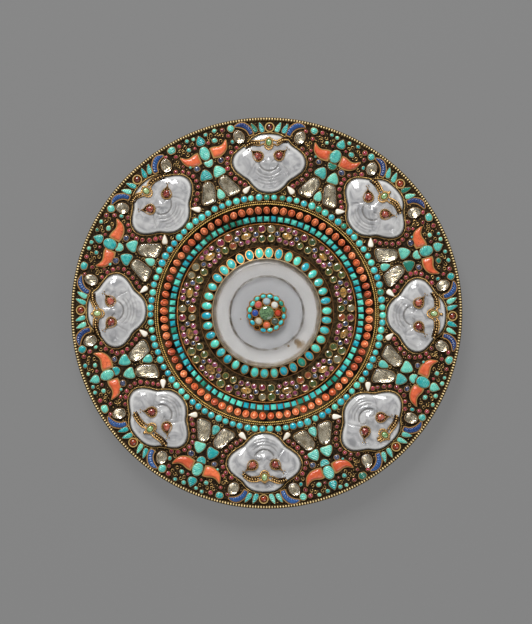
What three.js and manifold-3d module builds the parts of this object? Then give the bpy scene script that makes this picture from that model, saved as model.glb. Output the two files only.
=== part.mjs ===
// Offering dish of gilded metal, set all over with rock crystal, turquoise, coral and small gems.
// A shallow round dish on a foot ring: eight carved rock crystal masks on a broad flange, with winged
// figures of turquoise, coral and crystal between them, rows of stones down the sloping wall, a band of
// gem flowers on the well floor, and a rock crystal disc with a jewelled medallion on a low boss.
// Millimetres, +Z up. The origin is the middle of the circle that the foot ring stands on, and places in
// the pattern are counted clockwise from +Y, as seen from above.
import * as THREE from "three";
import { mergeVertices } from "three/addons/utils/BufferGeometryUtils.js";
import Module from "manifold-3d";

const wasm = await Module();
wasm.setup();

// Dish and foot
const DISH_RADIUS = 165;
const SHEET = 1.5;
const WELL_RADIUS = 76.6;
const WELL_DEPTH = 10;
const WALL_WIDTH = 14.4;
const BOSS_RADIUS = 46.6;
const BOSS_HEIGHT = 2.5;
const BOSS_SLOPE_WIDTH = 9.4;
const FOOT_HEIGHT = 8;
const FOOT_WIDTH = 3;
const FOOT_INSET = 9;

// Fits: the gap between pieces that touch on the real dish, and how far joined shapes run into each other
const CLEARANCE = 0.3;
const OVERRUN = 0.2;

// Wires
const RIM_WIRE = 2.8;
const ROPE_WIRE = 1.7;
const WELL_WIRE = 1.1;

// Setting plates and strips, and how high the stones stand on them
const PLATE = 0.9;
const STONE_WALL = 1.2;
const STONE_CROWN = 1.2;

// Rows of stones
const BEAD_ROW_WIDTH = 5.2;
const BEAD_ROW_HEIGHT = 2.8;
const CORAL_COUNT = 77;
const SQUARE_COUNT = 86;
const OVAL_COUNT = 38;

// Gem flowers on the well floor
const FLOWER_COUNT = 12;
const ROSETTE_WIDTH = 15;
const CITRINE_WIDTH = 8.6;
const LOOSE_GEM = 5;

// Rock crystal disc and its collar
const DISC_COLLAR = 1.2;
const DISC_COLLAR_HEIGHT = 2.6;
const DISC_EDGE_HEIGHT = 3.2;
const DISC_CROWN = 1.8;
const DISC_GROOVE = 1;

// Medallion
const MEDALLION_RADIUS = 17.4;
const MEDALLION_PLATE = 1.2;
const GREEN_STONE = 12.4;
const MEDALLION_GEM_COUNT = 8;
const MEDALLION_GEM = 5;
const MEDALLION_BORDER = 3.8;

// Masks
const MASK_COUNT = 8;
const PATTERN_TURN_DEGREES = 0.9;
const MASK_EDGE_HEIGHT = 3;
const MASK_CROWN = 4;
const MASK_NOSE = 2;
const MASK_COLLAR = 1.5;
const MASK_COLLAR_HEIGHT = 2.6;
const EYE_SOCKET = 1.6;
const EYE_PROUD = 1.4;
const DIADEM_WIDTH = 2.4;
const DIADEM_THICKNESS = 1;
const DIADEM_GEM = 6;
const DIADEM_GEM_HEIGHT = 2;
const GARNET = 7;

// Winged figures
const CRESCENT_WIDTH = 4.6;
const RUBY_CHAIN_WIDTH = 3.6;

// How finely round and curved pieces are cut
const RING_SEGMENTS = 48;
const WIRE_SIDES = 6;
const MASK_STEPS = 24;
const PLATE_STEPS = 6;

const FINISHES = {
  gilt: { color: 0x9a7b45, roughness: 0.4, metalness: 0.9 },
  turquoise: { color: 0x2fb5ae, roughness: 0.35, metalness: 0 },
  coral: { color: 0xd5532f, roughness: 0.4, metalness: 0 },
  crystal: { color: 0xd9dade, roughness: 0.12, metalness: 0 },
  ruby: { color: 0x8e1f3f, roughness: 0.15, metalness: 0 },
  gems: { color: 0x6d3b40, roughness: 0.3, metalness: 0.2 },
  jewelled: { color: 0x4fa39a, roughness: 0.35, metalness: 0.2 },
};

// Levels, from the foot up, and radii that follow from the sizes above
const floorZ = FOOT_HEIGHT + SHEET;
const flangeZ = floorZ + WELL_DEPTH;
const bossZ = floorZ + BOSS_HEIGHT;
const bossFootRadius = BOSS_RADIUS + BOSS_SLOPE_WIDTH;
const flangeInner = WELL_RADIUS + WALL_WIDTH;
const ropeInner = flangeInner + CLEARANCE;
const beadInner = ropeInner + 2 * ROPE_WIRE + CLEARANCE;
// Rings are cut into flats, and the middle of a flat lies this share of the way out to its corners.
const flatShare = Math.cos(Math.PI / RING_SEGMENTS);
const fieldInner = (beadInner + BEAD_ROW_WIDTH) / flatShare + CLEARANCE;
const fieldOuter = (DISH_RADIUS - RIM_WIRE) * flatShare - CLEARANCE;
const fieldWidth = fieldOuter - fieldInner;
const sectorAngle = (2 * Math.PI) / MASK_COUNT;
const patternTurn = THREE.MathUtils.degToRad(PATTERN_TURN_DEGREES);

// A closed three.js geometry as a solid that can be joined and cut.
function solid(geometry) {
  const bare = geometry.clone();
  bare.deleteAttribute("normal");
  bare.deleteAttribute("uv");
  const merged = mergeVertices(bare);
  return new wasm.Manifold(
    new wasm.Mesh({
      numProp: 3,
      vertProperties: merged.attributes.position.array,
      triVerts: new Uint32Array(merged.index.array),
    }),
  );
}

// The solid as a geometry again.
function geometryOf(body) {
  const mesh = body.getMesh();
  const geometry = new THREE.BufferGeometry();
  geometry.setAttribute("position", new THREE.BufferAttribute(mesh.vertProperties, 3));
  geometry.setIndex(new THREE.BufferAttribute(mesh.triVerts, 1));
  geometry.computeVertexNormals();
  return geometry;
}

const dish = new THREE.Group();

function addPiece(name, body, finish, angle = 0) {
  const piece = new THREE.Mesh(geometryOf(body), new THREE.MeshStandardMaterial(FINISHES[finish]));
  piece.name = name;
  piece.rotation.z = -angle;
  dish.add(piece);
}

// A ring or disc turned about +Z from a list of [radius, height], which runs clockwise where the radius
// points right. It starts and ends on the axis, or else closes on itself.
function turned(profile) {
  const points = profile.map(([radius, height]) => new THREE.Vector2(radius, height));
  if (profile[0][0] > 0) points.push(points[0].clone());
  const geometry = new THREE.LatheGeometry(points.reverse(), RING_SEGMENTS);
  return solid(geometry.rotateX(Math.PI / 2));
}

// A wire bent to a ring of this radius, with its middle at this height.
function turnedWire(radius, height, diameter) {
  const profile = [];
  for (let side = 0; side < WIRE_SIDES; side++) {
    const turn = (-2 * Math.PI * side) / WIRE_SIDES;
    profile.push([radius + (Math.cos(turn) * diameter) / 2, height + (Math.sin(turn) * diameter) / 2]);
  }
  return turned(profile);
}

// A flat plate or prism of any simple outline, a list of [x, y].
function prism(outline, bottom, top) {
  const shape = new THREE.Shape(outline.map(([x, y]) => new THREE.Vector2(x, y)));
  const geometry = new THREE.ExtrudeGeometry(shape, { depth: top - bottom, bevelEnabled: false });
  return solid(geometry.translate(0, 0, bottom));
}

// A solid with a flat foot, an upright edge and a faceted crown. The outline is a list of [x, y] that
// runs anticlockwise and can be seen whole from the middle. The crown has a ring of corners at each of
// the edge shares, which count from 0 at the middle to 1 at the outline.
function crowned(outline, middle, bottom, edgeShares, heightAt) {
  const n = outline.length;
  const positions = [];
  outline.forEach(([x, y]) => positions.push(x, y, bottom));
  edgeShares.forEach((share) => {
    outline.forEach(([x, y]) => {
      const px = middle[0] + (x - middle[0]) * share;
      const py = middle[1] + (y - middle[1]) * share;
      positions.push(px, py, heightAt(px, py, share));
    });
  });
  const footMiddle = positions.length / 3;
  positions.push(...middle, bottom, ...middle, heightAt(...middle, 0));
  const index = [];
  for (let i = 0; i < n; i++) {
    const j = (i + 1) % n;
    for (let low = 0; low < edgeShares.length * n; low += n) {
      index.push(low + i, low + j, low + n + j, low + i, low + n + j, low + n + i);
    }
    const last = edgeShares.length * n;
    index.push(last + i, last + j, footMiddle + 1, j, i, footMiddle);
  }
  const geometry = new THREE.BufferGeometry();
  geometry.setAttribute("position", new THREE.Float32BufferAttribute(positions, 3));
  geometry.setIndex(index);
  return solid(geometry);
}

// A cut stone: its crown rises to one point.
function stone(outline, bottom, wallTop, peak) {
  const middle = [0, 1].map((k) => outline.reduce((sum, point) => sum + point[k], 0) / outline.length);
  return crowned(outline, middle, bottom, [1], (x, y, share) => (share ? wallTop : peak));
}

// An ellipse or, with few corners, a polygon with a flat side outward. Its length lies along Y.
function ellipse(length, width, corners) {
  const outline = [];
  for (let corner = 0; corner < corners; corner++) {
    const turn = (2 * Math.PI * (corner + 0.5)) / corners + Math.PI / 2;
    outline.push([(Math.cos(turn) * width) / 2, (Math.sin(turn) * length) / 2]);
  }
  return outline;
}

// The body with copies of a piece joined to it, evenly round the axis. The piece is made upright at the
// origin, and the first copy stands at the start angle.
function withRing(body, piece, count, radius, start = 0) {
  let joined = body;
  for (let copy = 0; copy < count; copy++) {
    const place = new THREE.Matrix4().makeRotationZ(-start - (2 * Math.PI * copy) / count);
    place.multiply(new THREE.Matrix4().makeTranslation(0, radius, 0));
    joined = joined.add(piece.transform(place.elements));
  }
  return joined;
}

// A row of stones in one strip, which lies on the sloping line from foot to head between two shares of
// it. The strip is a turned ring whose sections stand in turn at the middle of a stone, where its edges
// and its crown are high, and between two stones, where they are low. Lifts are square to the line.
function stoneRow(foot, head, [startShare, endShare], count) {
  const line = new THREE.Vector2(head[0] - foot[0], head[1] - foot[1]);
  const normal = new THREE.Vector2(-line.y, line.x).normalize();
  const point = (share, lift) => {
    const radius = foot[0] + line.x * share + normal.x * lift;
    return new THREE.Vector2(radius, foot[1] + line.y * share + normal.y * lift);
  };
  const section = (edgeLift, crownLift) => [
    point(startShare, CLEARANCE),
    point(endShare, CLEARANCE),
    point(endShare, edgeLift),
    point((startShare + endShare) / 2, crownLift),
    point(startShare, edgeLift),
    point(startShare, CLEARANCE),
  ];
  const stripTop = CLEARANCE + PLATE;
  const stoneTop = stripTop + STONE_WALL;
  const middle = section(stoneTop, stoneTop + STONE_CROWN);
  const between = section(stripTop, stripTop + STONE_WALL / 2);
  const geometry = new THREE.LatheGeometry(middle, 2 * count);
  const corners = geometry.attributes.position;
  for (let i = 0; i < corners.count; i++) {
    const copy = Math.floor(i / middle.length);
    if (copy % 2 === 0) continue;
    const { x: radius, y: height } = between[i % middle.length];
    const angle = (Math.PI * copy) / count;
    corners.setXYZ(i, Math.sin(angle) * radius, height, Math.cos(angle) * radius);
  }
  return solid(geometry.rotateX(Math.PI / 2));
}

// Dish body: one sheet, raised and planished, with the boss pushed up from below.
function dishBody() {
  const upper = [
    [0, bossZ],
    [BOSS_RADIUS, bossZ],
    [bossFootRadius, floorZ],
    [WELL_RADIUS, floorZ],
    [flangeInner, flangeZ],
    [DISH_RADIUS - RIM_WIRE / 2, flangeZ],
  ];
  const lower = upper.map(([radius, height]) => [radius, height - SHEET]).reverse();
  return turned([...upper, ...lower]);
}
addPiece("dish_body", dishBody(), "gilt");

// Foot ring, soldered under the well floor.
function footRing() {
  const outer = WELL_RADIUS - FOOT_INSET;
  const top = FOOT_HEIGHT - CLEARANCE;
  return turned([
    [outer - FOOT_WIDTH, 0],
    [outer - FOOT_WIDTH / 2, top],
    [outer, top],
    [outer, 0],
  ]);
}
addPiece("foot_ring", footRing(), "gilt");

// Pearled wire round the rim, and the pair of rope wires where the flange turns down into the well.
function rimWire() {
  return turnedWire(DISH_RADIUS - RIM_WIRE / 2, flangeZ + CLEARANCE + RIM_WIRE / 2, RIM_WIRE);
}
addPiece("rim_pearl_wire", rimWire(), "gilt");

function ropeWires() {
  const bottom = flangeZ + CLEARANCE;
  const top = bottom + ROPE_WIRE;
  return turned([
    [ropeInner, bottom],
    [ropeInner + ROPE_WIRE / 2, top],
    [ropeInner + ROPE_WIRE, bottom + ROPE_WIRE / 2],
    [ropeInner + (3 * ROPE_WIRE) / 2, top],
    [ropeInner + 2 * ROPE_WIRE, bottom],
  ]);
}
addPiece("flange_rope_wires", ropeWires(), "gilt");

// Row of round turquoise beads on the flange, as one strip with a rounded top.
function beadRow() {
  const bottom = flangeZ + CLEARANCE;
  const shoulder = bottom + BEAD_ROW_HEIGHT / 2;
  return turned([
    [beadInner, bottom],
    [beadInner, shoulder],
    [beadInner + BEAD_ROW_WIDTH / 2, bottom + BEAD_ROW_HEIGHT],
    [beadInner + BEAD_ROW_WIDTH, shoulder],
    [beadInner + BEAD_ROW_WIDTH, bottom],
  ]);
}
addPiece("turquoise_bead_row", beadRow(), "turquoise");

// Rows of coral and of square turquoise on the wall, and of oval turquoise on the slope of the boss.
const wallFoot = [WELL_RADIUS, floorZ];
const wallHead = [flangeInner, flangeZ];
const bossHead = [BOSS_RADIUS, bossZ];
const bossFoot = [bossFootRadius, floorZ];
const coralShares = [0.49, 0.97];
const squareShares = [0.07, 0.43];
const ovalShares = [0.03, 0.97];
addPiece("coral_row", stoneRow(wallFoot, wallHead, coralShares, CORAL_COUNT), "coral");
addPiece("turquoise_square_row", stoneRow(wallFoot, wallHead, squareShares, SQUARE_COUNT), "turquoise");
addPiece("turquoise_oval_row", stoneRow(bossHead, bossFoot, ovalShares, OVAL_COUNT), "turquoise");

// Band of gem flowers on the well floor: a rosette round an oval citrine, twelve times, and a pair of
// gems between the rosettes, on a plate with a wire at its outer edge.
const rosetteShare = 0.94;
const citrineShare = 0.3;
const looseGemShares = [0.25, 0.75];

function flowerBand() {
  const bottom = floorZ + CLEARANCE;
  const top = bottom + PLATE;
  const rosetteTop = top + STONE_WALL;
  const inner = bossFootRadius + PLATE + CLEARANCE;
  const outer = WELL_RADIUS - CLEARANCE - WELL_WIRE;
  const width = outer - inner;
  const plate = turned([
    [inner, bottom],
    [inner, top],
    [outer, top],
    [outer + WELL_WIRE / 2, top + WELL_WIRE / 2],
    [outer + WELL_WIRE, bottom],
  ]);
  const rosetteOutline = ellipse(width * rosetteShare, ROSETTE_WIDTH, 6);
  const rosette = stone(rosetteOutline, top - PLATE / 2, rosetteTop - STONE_WALL / 2, rosetteTop);
  const citrineOutline = ellipse(width * citrineShare, CITRINE_WIDTH, 6);
  const citrine = stone(citrineOutline, top, rosetteTop + STONE_WALL / 2, rosetteTop + STONE_CROWN);
  const halfStep = Math.PI / FLOWER_COUNT;
  let band = withRing(plate, rosette.add(citrine), FLOWER_COUNT, inner + width / 2, halfStep);
  const gem = stone(ellipse(LOOSE_GEM, LOOSE_GEM, 4), top - PLATE / 2, rosetteTop, rosetteTop + OVERRUN);
  looseGemShares.forEach((share) => {
    band = withRing(band, gem, FLOWER_COUNT, inner + width * share);
  });
  return band;
}
addPiece("gem_flower_band", flowerBand(), "gems");

// Rock crystal disc on the boss, with a rounded shoulder and a turned groove, and its collar.
const discZ = bossZ + CLEARANCE;
const discTopZ = discZ + DISC_EDGE_HEIGHT + DISC_CROWN;
const discRadius = BOSS_RADIUS - DISC_COLLAR - CLEARANCE;
const grooveShare = 0.7;
const shoulderShares = [0.88, 0.965];

function crystalDisc() {
  const groove = discRadius * grooveShare;
  return turned([
    [0, discTopZ],
    [groove - DISC_GROOVE / 2, discTopZ],
    [groove, discTopZ - DISC_GROOVE / 2],
    [groove + DISC_GROOVE / 2, discTopZ],
    [discRadius * shoulderShares[0], discTopZ],
    [discRadius * shoulderShares[1], discTopZ - DISC_CROWN / 3],
    [discRadius, discZ + DISC_EDGE_HEIGHT],
    [discRadius, discZ],
    [0, discZ],
  ]);
}
addPiece("centre_crystal", crystalDisc(), "crystal");

function discCollar() {
  const inner = discRadius + CLEARANCE;
  return turned([
    [inner, discZ],
    [inner, discZ + DISC_COLLAR_HEIGHT],
    [inner + DISC_COLLAR / 2, discZ + DISC_COLLAR_HEIGHT],
    [inner + DISC_COLLAR, discZ],
  ]);
}
addPiece("centre_collar", discCollar(), "gilt");

// Medallion on the disc: a plate with a green stone and eight gems, and a raised border.
function medallion() {
  const bottom = discTopZ + CLEARANCE;
  const top = bottom + MEDALLION_PLATE;
  const inner = MEDALLION_RADIUS - MEDALLION_BORDER;
  const gemAt = (width, corners) => {
    const wallTop = top + STONE_WALL / 2;
    return stone(ellipse(width, width, corners), top - MEDALLION_PLATE / 2, wallTop, wallTop + width / 5);
  };
  const plate = turned([
    [0, top],
    [inner, top],
    [inner + MEDALLION_BORDER / 2, top + STONE_WALL],
    [MEDALLION_RADIUS, top],
    [MEDALLION_RADIUS, bottom],
    [0, bottom],
  ]);
  const gemRadius = (GREEN_STONE / 2 + inner) / 2;
  const jewelled = plate.add(gemAt(GREEN_STONE, 8));
  return withRing(jewelled, gemAt(MEDALLION_GEM, 5), MEDALLION_GEM_COUNT, gemRadius);
}
addPiece("centre_medallion", medallion(), "jewelled");

// A place on the flange, seen from the axis of its mask or winged figure: across is a share of half a
// sector's angle, clockwise, and outward is a share of the field's width.
function at([across, outward]) {
  const angle = (across * sectorAngle) / 2;
  const radius = fieldInner + outward * fieldWidth;
  return [Math.sin(angle) * radius, Math.cos(angle) * radius];
}

// Places on the right-hand side, which run anticlockwise, or their mirror image on the left.
function sided(shares, side) {
  const outline = shares.map(([across, outward]) => at([across * side, outward]));
  return side > 0 ? outline : outline.reverse();
}

// A smooth closed outline through the points, cut into even steps.
function smooth(points, steps) {
  const knots = points.map(([x, y]) => new THREE.Vector3(x, y, 0));
  const curve = new THREE.CatmullRomCurve3(knots, true, "centripetal");
  const spaced = curve.getSpacedPoints(steps).slice(0, steps);
  return spaced.map((point) => [point.x, point.y]);
}

// The direction of a path or outline at each point. A path's ends take the direction of their step.
function directions(points, closed) {
  const n = points.length;
  return points.map((point, i) => {
    const before = points[closed ? (i + n - 1) % n : Math.max(i - 1, 0)];
    const after = points[closed ? (i + 1) % n : Math.min(i + 1, n - 1)];
    return new THREE.Vector2(after[0] - before[0], after[1] - before[1]).normalize();
  });
}

// The points moved sideways by a distance, to the right of the way they run.
function offset(points, distance, closed) {
  return directions(points, closed).map((along, i) => [
    points[i][0] + along.y * distance,
    points[i][1] - along.x * distance,
  ]);
}

function grown(outline, distance) {
  return offset(outline, distance, true);
}

// Mask outline, from the forehead down the right side to the chin. The left side is its mirror image.
const maskHalfShares = [
  [0, 0.826],
  [0.143, 0.81],
  [0.265, 0.75],
  [0.339, 0.69],
  [0.427, 0.668],
  [0.533, 0.614],
  [0.608, 0.515],
  [0.605, 0.389],
  [0.531, 0.29],
  [0.383, 0.205],
  [0.302, 0.125],
  [0.167, 0.066],
  [0, 0.048],
];
const maskMiddleShares = [0, 0.45];
const maskZ = flangeZ + CLEARANCE;
const maskMiddle = at(maskMiddleShares);

function maskOutlineOf() {
  const right = maskHalfShares.map(at);
  const left = right.slice(1, -1).map(([x, y]) => [-x, y]);
  return smooth([...left, ...right.reverse()], MASK_STEPS);
}
const maskOutline = maskOutlineOf();

// How far a point lies from the mask's middle, as a share of the way to its outline.
function shareToEdge(x, y) {
  const dx = x - maskMiddle[0];
  const dy = y - maskMiddle[1];
  let reach = Infinity;
  maskOutline.forEach(([ax, ay], i) => {
    const [bx, by] = maskOutline[(i + 1) % maskOutline.length];
    const ex = bx - ax;
    const ey = by - ay;
    const mx = ax - maskMiddle[0];
    const my = ay - maskMiddle[1];
    const cross = dx * ey - dy * ex;
    const outward = (mx * ey - my * ex) / cross;
    const along = (mx * dy - my * dx) / cross;
    if (outward > 0 && along >= 0 && along <= 1) reach = Math.min(reach, outward);
  });
  return Math.min(1, 1 / reach);
}

// Height of the mask's face: a rounded edge, a broad shallow dome, and the nose.
const noseShares = [0, 0.33];
const noseSpreadShares = [0.16, 0.14];

function maskHeight(x, y, share = shareToEdge(x, y)) {
  const nose = at(noseShares);
  const across = (x - nose[0]) / (noseSpreadShares[0] * fieldWidth);
  const outward = (y - nose[1]) / (noseSpreadShares[1] * fieldWidth);
  const dome = MASK_CROWN * Math.sqrt(1 - share * share);
  return maskZ + MASK_EDGE_HEIGHT + dome + MASK_NOSE * Math.exp(-across * across - outward * outward);
}

// Eye: a drop-shaped collet with a ruby, let into a socket in the crystal. The tip points up and out.
const eyeShares = [
  [0.13, 0.49],
  [0.19, 0.42],
  [0.25, 0.47],
  [0.262, 0.53],
  [0.285, 0.585],
  [0.16, 0.555],
];

function eyeFloor(side) {
  const edge = grown(sided(eyeShares, side), CLEARANCE);
  return Math.min(...edge.map(([x, y]) => maskHeight(x, y))) - EYE_SOCKET;
}

function eyeSocket(side) {
  const highest = maskZ + MASK_EDGE_HEIGHT + MASK_CROWN + MASK_NOSE;
  return prism(grown(sided(eyeShares, side), CLEARANCE), eyeFloor(side), highest + OVERRUN);
}

function eye(side) {
  const wallTop = eyeFloor(side) + EYE_SOCKET + EYE_PROUD;
  return stone(sided(eyeShares, side), eyeFloor(side) + CLEARANCE, wallTop, wallTop + EYE_PROUD / 2);
}

const crownShares = [1, 0.88, 0.5];

function maskCrystal() {
  const crystal = crowned(maskOutline, maskMiddle, maskZ, crownShares, maskHeight);
  return crystal.subtract(eyeSocket(-1)).subtract(eyeSocket(1));
}

// Diadem: a band across the forehead that follows the crystal, with a green stone in the middle.
const diademHalfShares = [
  [0, 0.63],
  [0.08, 0.65],
  [0.16, 0.685],
  [0.29, 0.645],
];

function diadem() {
  const right = diademHalfShares.map(at);
  const left = right.slice(1).map(([x, y]) => [-x, y]);
  const path = [...left.reverse(), ...right];
  const outline = [...offset(path, DIADEM_WIDTH / 2), ...offset(path, -DIADEM_WIDTH / 2).reverse()];
  const shape = new THREE.Shape(outline.map(([x, y]) => new THREE.Vector2(x, y)));
  const band = new THREE.ExtrudeGeometry(shape, { depth: DIADEM_THICKNESS, bevelEnabled: false });
  const corners = band.attributes.position;
  for (let i = 0; i < corners.count; i++) {
    const seat = maskHeight(corners.getX(i), corners.getY(i)) + CLEARANCE;
    corners.setZ(i, corners.getZ(i) + seat);
  }
  const [gemX, gemY] = at(diademHalfShares[0]);
  const gemOutline = ellipse(DIADEM_GEM, DIADEM_GEM, 6).map(([x, y]) => [gemX + x, gemY + y]);
  const gemSeat = Math.max(...gemOutline.map(([x, y]) => maskHeight(x, y)), maskHeight(gemX, gemY));
  const wallTop = gemSeat + CLEARANCE + DIADEM_GEM_HEIGHT;
  return solid(band).add(stone(gemOutline, gemSeat + CLEARANCE, wallTop, wallTop + DIADEM_THICKNESS));
}

// Collar round the mask, with the garnet that stands at its top on a tongue of the collar.
const garnetShares = [0, 0.925];

function garnetOutline(distance) {
  const [x, y] = at(garnetShares);
  const size = GARNET + 2 * distance;
  return ellipse(size, size, 6).map(([dx, dy]) => [x + dx, y + dy]);
}

function tongueOutline(distance) {
  const [x, top] = at(garnetShares);
  const bottom = at(maskHalfShares[0])[1] + 2 * CLEARANCE;
  const half = GARNET / 4 + distance;
  return [
    [x - half, bottom],
    [x + half, bottom],
    [x + half, top],
    [x - half, top],
  ];
}

function maskCollar() {
  const wallTop = maskZ + MASK_COLLAR_HEIGHT;
  const outer = prism(grown(maskOutline, CLEARANCE + MASK_COLLAR), maskZ, wallTop);
  const inner = prism(grown(maskOutline, CLEARANCE), maskZ - OVERRUN, wallTop + OVERRUN);
  const tongue = prism(tongueOutline(0), maskZ, maskZ + PLATE);
  const garnet = stone(garnetOutline(0), maskZ, wallTop, wallTop + STONE_CROWN);
  return outer.subtract(inner).add(tongue).add(garnet);
}

// The room that a mask's collar and garnet take out of the winged figures' plates, one clearance wider.
function collarRoom() {
  const top = maskZ + MASK_COLLAR_HEIGHT + STONE_CROWN + STONE_WALL + PLATE;
  const room = prism(grown(maskOutline, 2 * CLEARANCE + MASK_COLLAR), flangeZ, top);
  const garnet = prism(garnetOutline(CLEARANCE), flangeZ, top);
  return room.add(garnet).add(prism(tongueOutline(CLEARANCE), flangeZ, top));
}

// Winged figure between two masks: the bird's head, body and tail and a drop under it lie on its axis.
// Each stone has its place and its length and width, both as shares of the field's width.
const axisStoneShares = [
  { place: [0, 0.9], size: [0.13, 0.12], corners: 6 },
  { place: [0, 0.71], size: [0.195, 0.15], corners: 6 },
  { place: [0, 0.565], size: [0.1, 0.125], corners: 4 },
  { place: [0, 0.115], size: [0.14, 0.115], corners: 6 },
];
// Stones on both sides: a turquoise near the rim, and a drop of crystal by the mask's forehead.
const sideStoneShares = [
  { place: [0.41, 0.925], size: [0.12, 0.12], corners: 6 },
  { place: [0.56, 0.79], size: [0.2, 0.17], corners: 6 },
];
const wingShares = [
  [0.105, 0.765],
  [0.115, 0.62],
  [0.21, 0.61],
  [0.32, 0.69],
  [0.365, 0.8],
  [0.25, 0.745],
];
const thighShares = [
  [0.03, 0.4],
  [0.035, 0.345],
  [0.2, 0.345],
  [0.205, 0.4],
  [0.15, 0.48],
  [0.09, 0.515],
];
const bellShares = [
  [0.045, 0.27],
  [0.115, 0.07],
  [0.37, 0.07],
  [0.29, 0.2],
  [0.21, 0.33],
  [0.08, 0.33],
];
// The lapis crescent over the mask's shoulder, and the chain of rubies beside its cheek, as paths.
const crescentShares = [
  [0.54, 0.965],
  [0.65, 0.935],
  [0.745, 0.82],
];
const rubyChainShares = [
  [0.47, 0.69],
  [0.34, 0.6],
  [0.275, 0.46],
  [0.31, 0.3],
  [0.43, 0.17],
];

function ovalAt({ place, size, corners }, side) {
  const [x, y] = at([place[0] * side, place[1]]);
  const middle = new THREE.Vector2(x, y);
  const turn = (-place[0] * side * sectorAngle) / 2;
  return ellipse(size[0] * fieldWidth, size[1] * fieldWidth, corners).map(([dx, dy]) => {
    const corner = new THREE.Vector2(x + dx, y + dy).rotateAround(middle, turn);
    return [corner.x, corner.y];
  });
}

// A strip of even width along a path of places.
function strip(shares, side, width) {
  const path = shares.map(([across, outward]) => at([across * side, outward]));
  return [...offset(path, width / 2), ...offset(path, -width / 2).reverse()];
}

// Setting plate of one sector, from the middle of one mask to the middle of the next.
function settingPlate() {
  const halfAngle = sectorAngle / 2 - CLEARANCE / (2 * fieldInner);
  const arc = (radius, turn) => {
    const points = [];
    for (let step = 0; step <= PLATE_STEPS; step++) {
      const angle = turn * halfAngle * (1 - (2 * step) / PLATE_STEPS);
      points.push([Math.sin(angle) * radius, Math.cos(angle) * radius]);
    }
    return points;
  };
  return prism([...arc(fieldOuter, 1), ...arc(fieldInner, -1)], maskZ, maskZ + PLATE);
}

function wingedPanel() {
  const bottom = maskZ + PLATE / 2;
  const wallTop = maskZ + PLATE + STONE_WALL;
  let panel = settingPlate();
  const set = (outline) => {
    panel = panel.add(stone(outline, bottom, wallTop, wallTop + STONE_CROWN));
  };
  axisStoneShares.forEach((one) => set(ovalAt(one, 1)));
  [-1, 1].forEach((side) => {
    [wingShares, thighShares, bellShares].forEach((shares) => set(sided(shares, side)));
    sideStoneShares.forEach((one) => set(ovalAt(one, side)));
    panel = panel.add(prism(strip(crescentShares, side, CRESCENT_WIDTH), bottom, wallTop));
    panel = panel.add(prism(strip(rubyChainShares, side, RUBY_CHAIN_WIDTH), bottom, wallTop));
  });
  const halfSector = THREE.MathUtils.radToDeg(sectorAngle / 2);
  const room = collarRoom();
  return panel.subtract(room.rotate([0, 0, halfSector])).subtract(room.rotate([0, 0, -halfSector]));
}

// The eight masks, each with the winged figure that follows it.
const sectorPieces = [
  ["mask_crystal", maskCrystal(), "crystal", 0],
  ["mask_collar", maskCollar(), "gilt", 0],
  ["mask_diadem", diadem(), "gilt", 0],
  ["mask_eye_left", eye(-1), "ruby", 0],
  ["mask_eye_right", eye(1), "ruby", 0],
  ["winged_panel", wingedPanel(), "jewelled", sectorAngle / 2],
];
for (let sector = 0; sector < MASK_COUNT; sector++) {
  const angle = patternTurn + sector * sectorAngle;
  sectorPieces.forEach(([name, body, finish, turn]) => {
    addPiece(`${name}_${sector + 1}`, body, finish, angle + turn);
  });
}

export default dish;
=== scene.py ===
import math
import random

import bmesh
import bpy
import numpy as np
from mathutils import Matrix, Vector


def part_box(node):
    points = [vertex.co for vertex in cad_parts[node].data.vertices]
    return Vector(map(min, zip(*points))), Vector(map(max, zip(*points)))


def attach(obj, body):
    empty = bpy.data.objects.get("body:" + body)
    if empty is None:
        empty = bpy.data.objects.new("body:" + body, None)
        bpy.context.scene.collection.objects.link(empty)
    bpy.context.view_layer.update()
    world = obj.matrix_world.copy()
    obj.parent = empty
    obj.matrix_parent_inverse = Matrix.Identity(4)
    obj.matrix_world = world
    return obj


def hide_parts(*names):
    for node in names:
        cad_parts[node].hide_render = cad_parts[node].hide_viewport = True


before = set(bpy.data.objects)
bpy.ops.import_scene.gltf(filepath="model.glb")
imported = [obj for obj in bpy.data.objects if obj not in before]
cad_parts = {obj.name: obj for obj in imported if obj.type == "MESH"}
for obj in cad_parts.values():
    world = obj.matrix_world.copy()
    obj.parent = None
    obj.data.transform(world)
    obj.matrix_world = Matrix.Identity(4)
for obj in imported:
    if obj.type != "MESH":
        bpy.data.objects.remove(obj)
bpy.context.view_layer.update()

bpy.ops.object.select_all(action="DESELECT")

# Camera.
# The dish is seen from straight above, a little off its middle, with +Y towards the top of the picture.
# Places that were read from the photograph are in its pixels, and the dish's radius is 196 of them.
mm = 0.001
rim_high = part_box("rim_pearl_wire")[1]
dish_radius = rim_high.x
rim_level = rim_high.z
dish_radius_px = 196
pixel = dish_radius / dish_radius_px
photo_height_px = 624
off_middle_px = (-0.67, 1.11)
camera_distance = 2.2

bpy.ops.object.camera_add(location=(
    off_middle_px[0] * pixel, off_middle_px[1] * pixel, rim_level + camera_distance))
camera = bpy.context.object
camera.data.lens = camera.data.sensor_width * camera_distance / (photo_height_px * pixel)
camera.data.clip_end = 10
bpy.context.scene.camera = camera
bpy.context.scene.view_settings.view_transform = "Standard"


# Floor and light.
# A plain grey floor under a soft even sky, a broad lamp to the upper left and a weaker one opposite.
def linear(red, green, blue):
    """A colour as it is seen on a screen, 0 to 255, in the shader's own terms."""
    return tuple(((part / 255 + 0.055) / 1.055) ** 2.4 for part in (red, green, blue)) + (1,)


def finish(name, **sockets):
    """A new material, with the plain sockets of its shader set by name."""
    material = bpy.data.materials.new(name)
    material.use_nodes = True
    shader = material.node_tree.nodes["Principled BSDF"]
    for socket, value in sockets.items():
        shader.inputs[socket.replace("_", " ")].default_value = value
    return material


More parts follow.
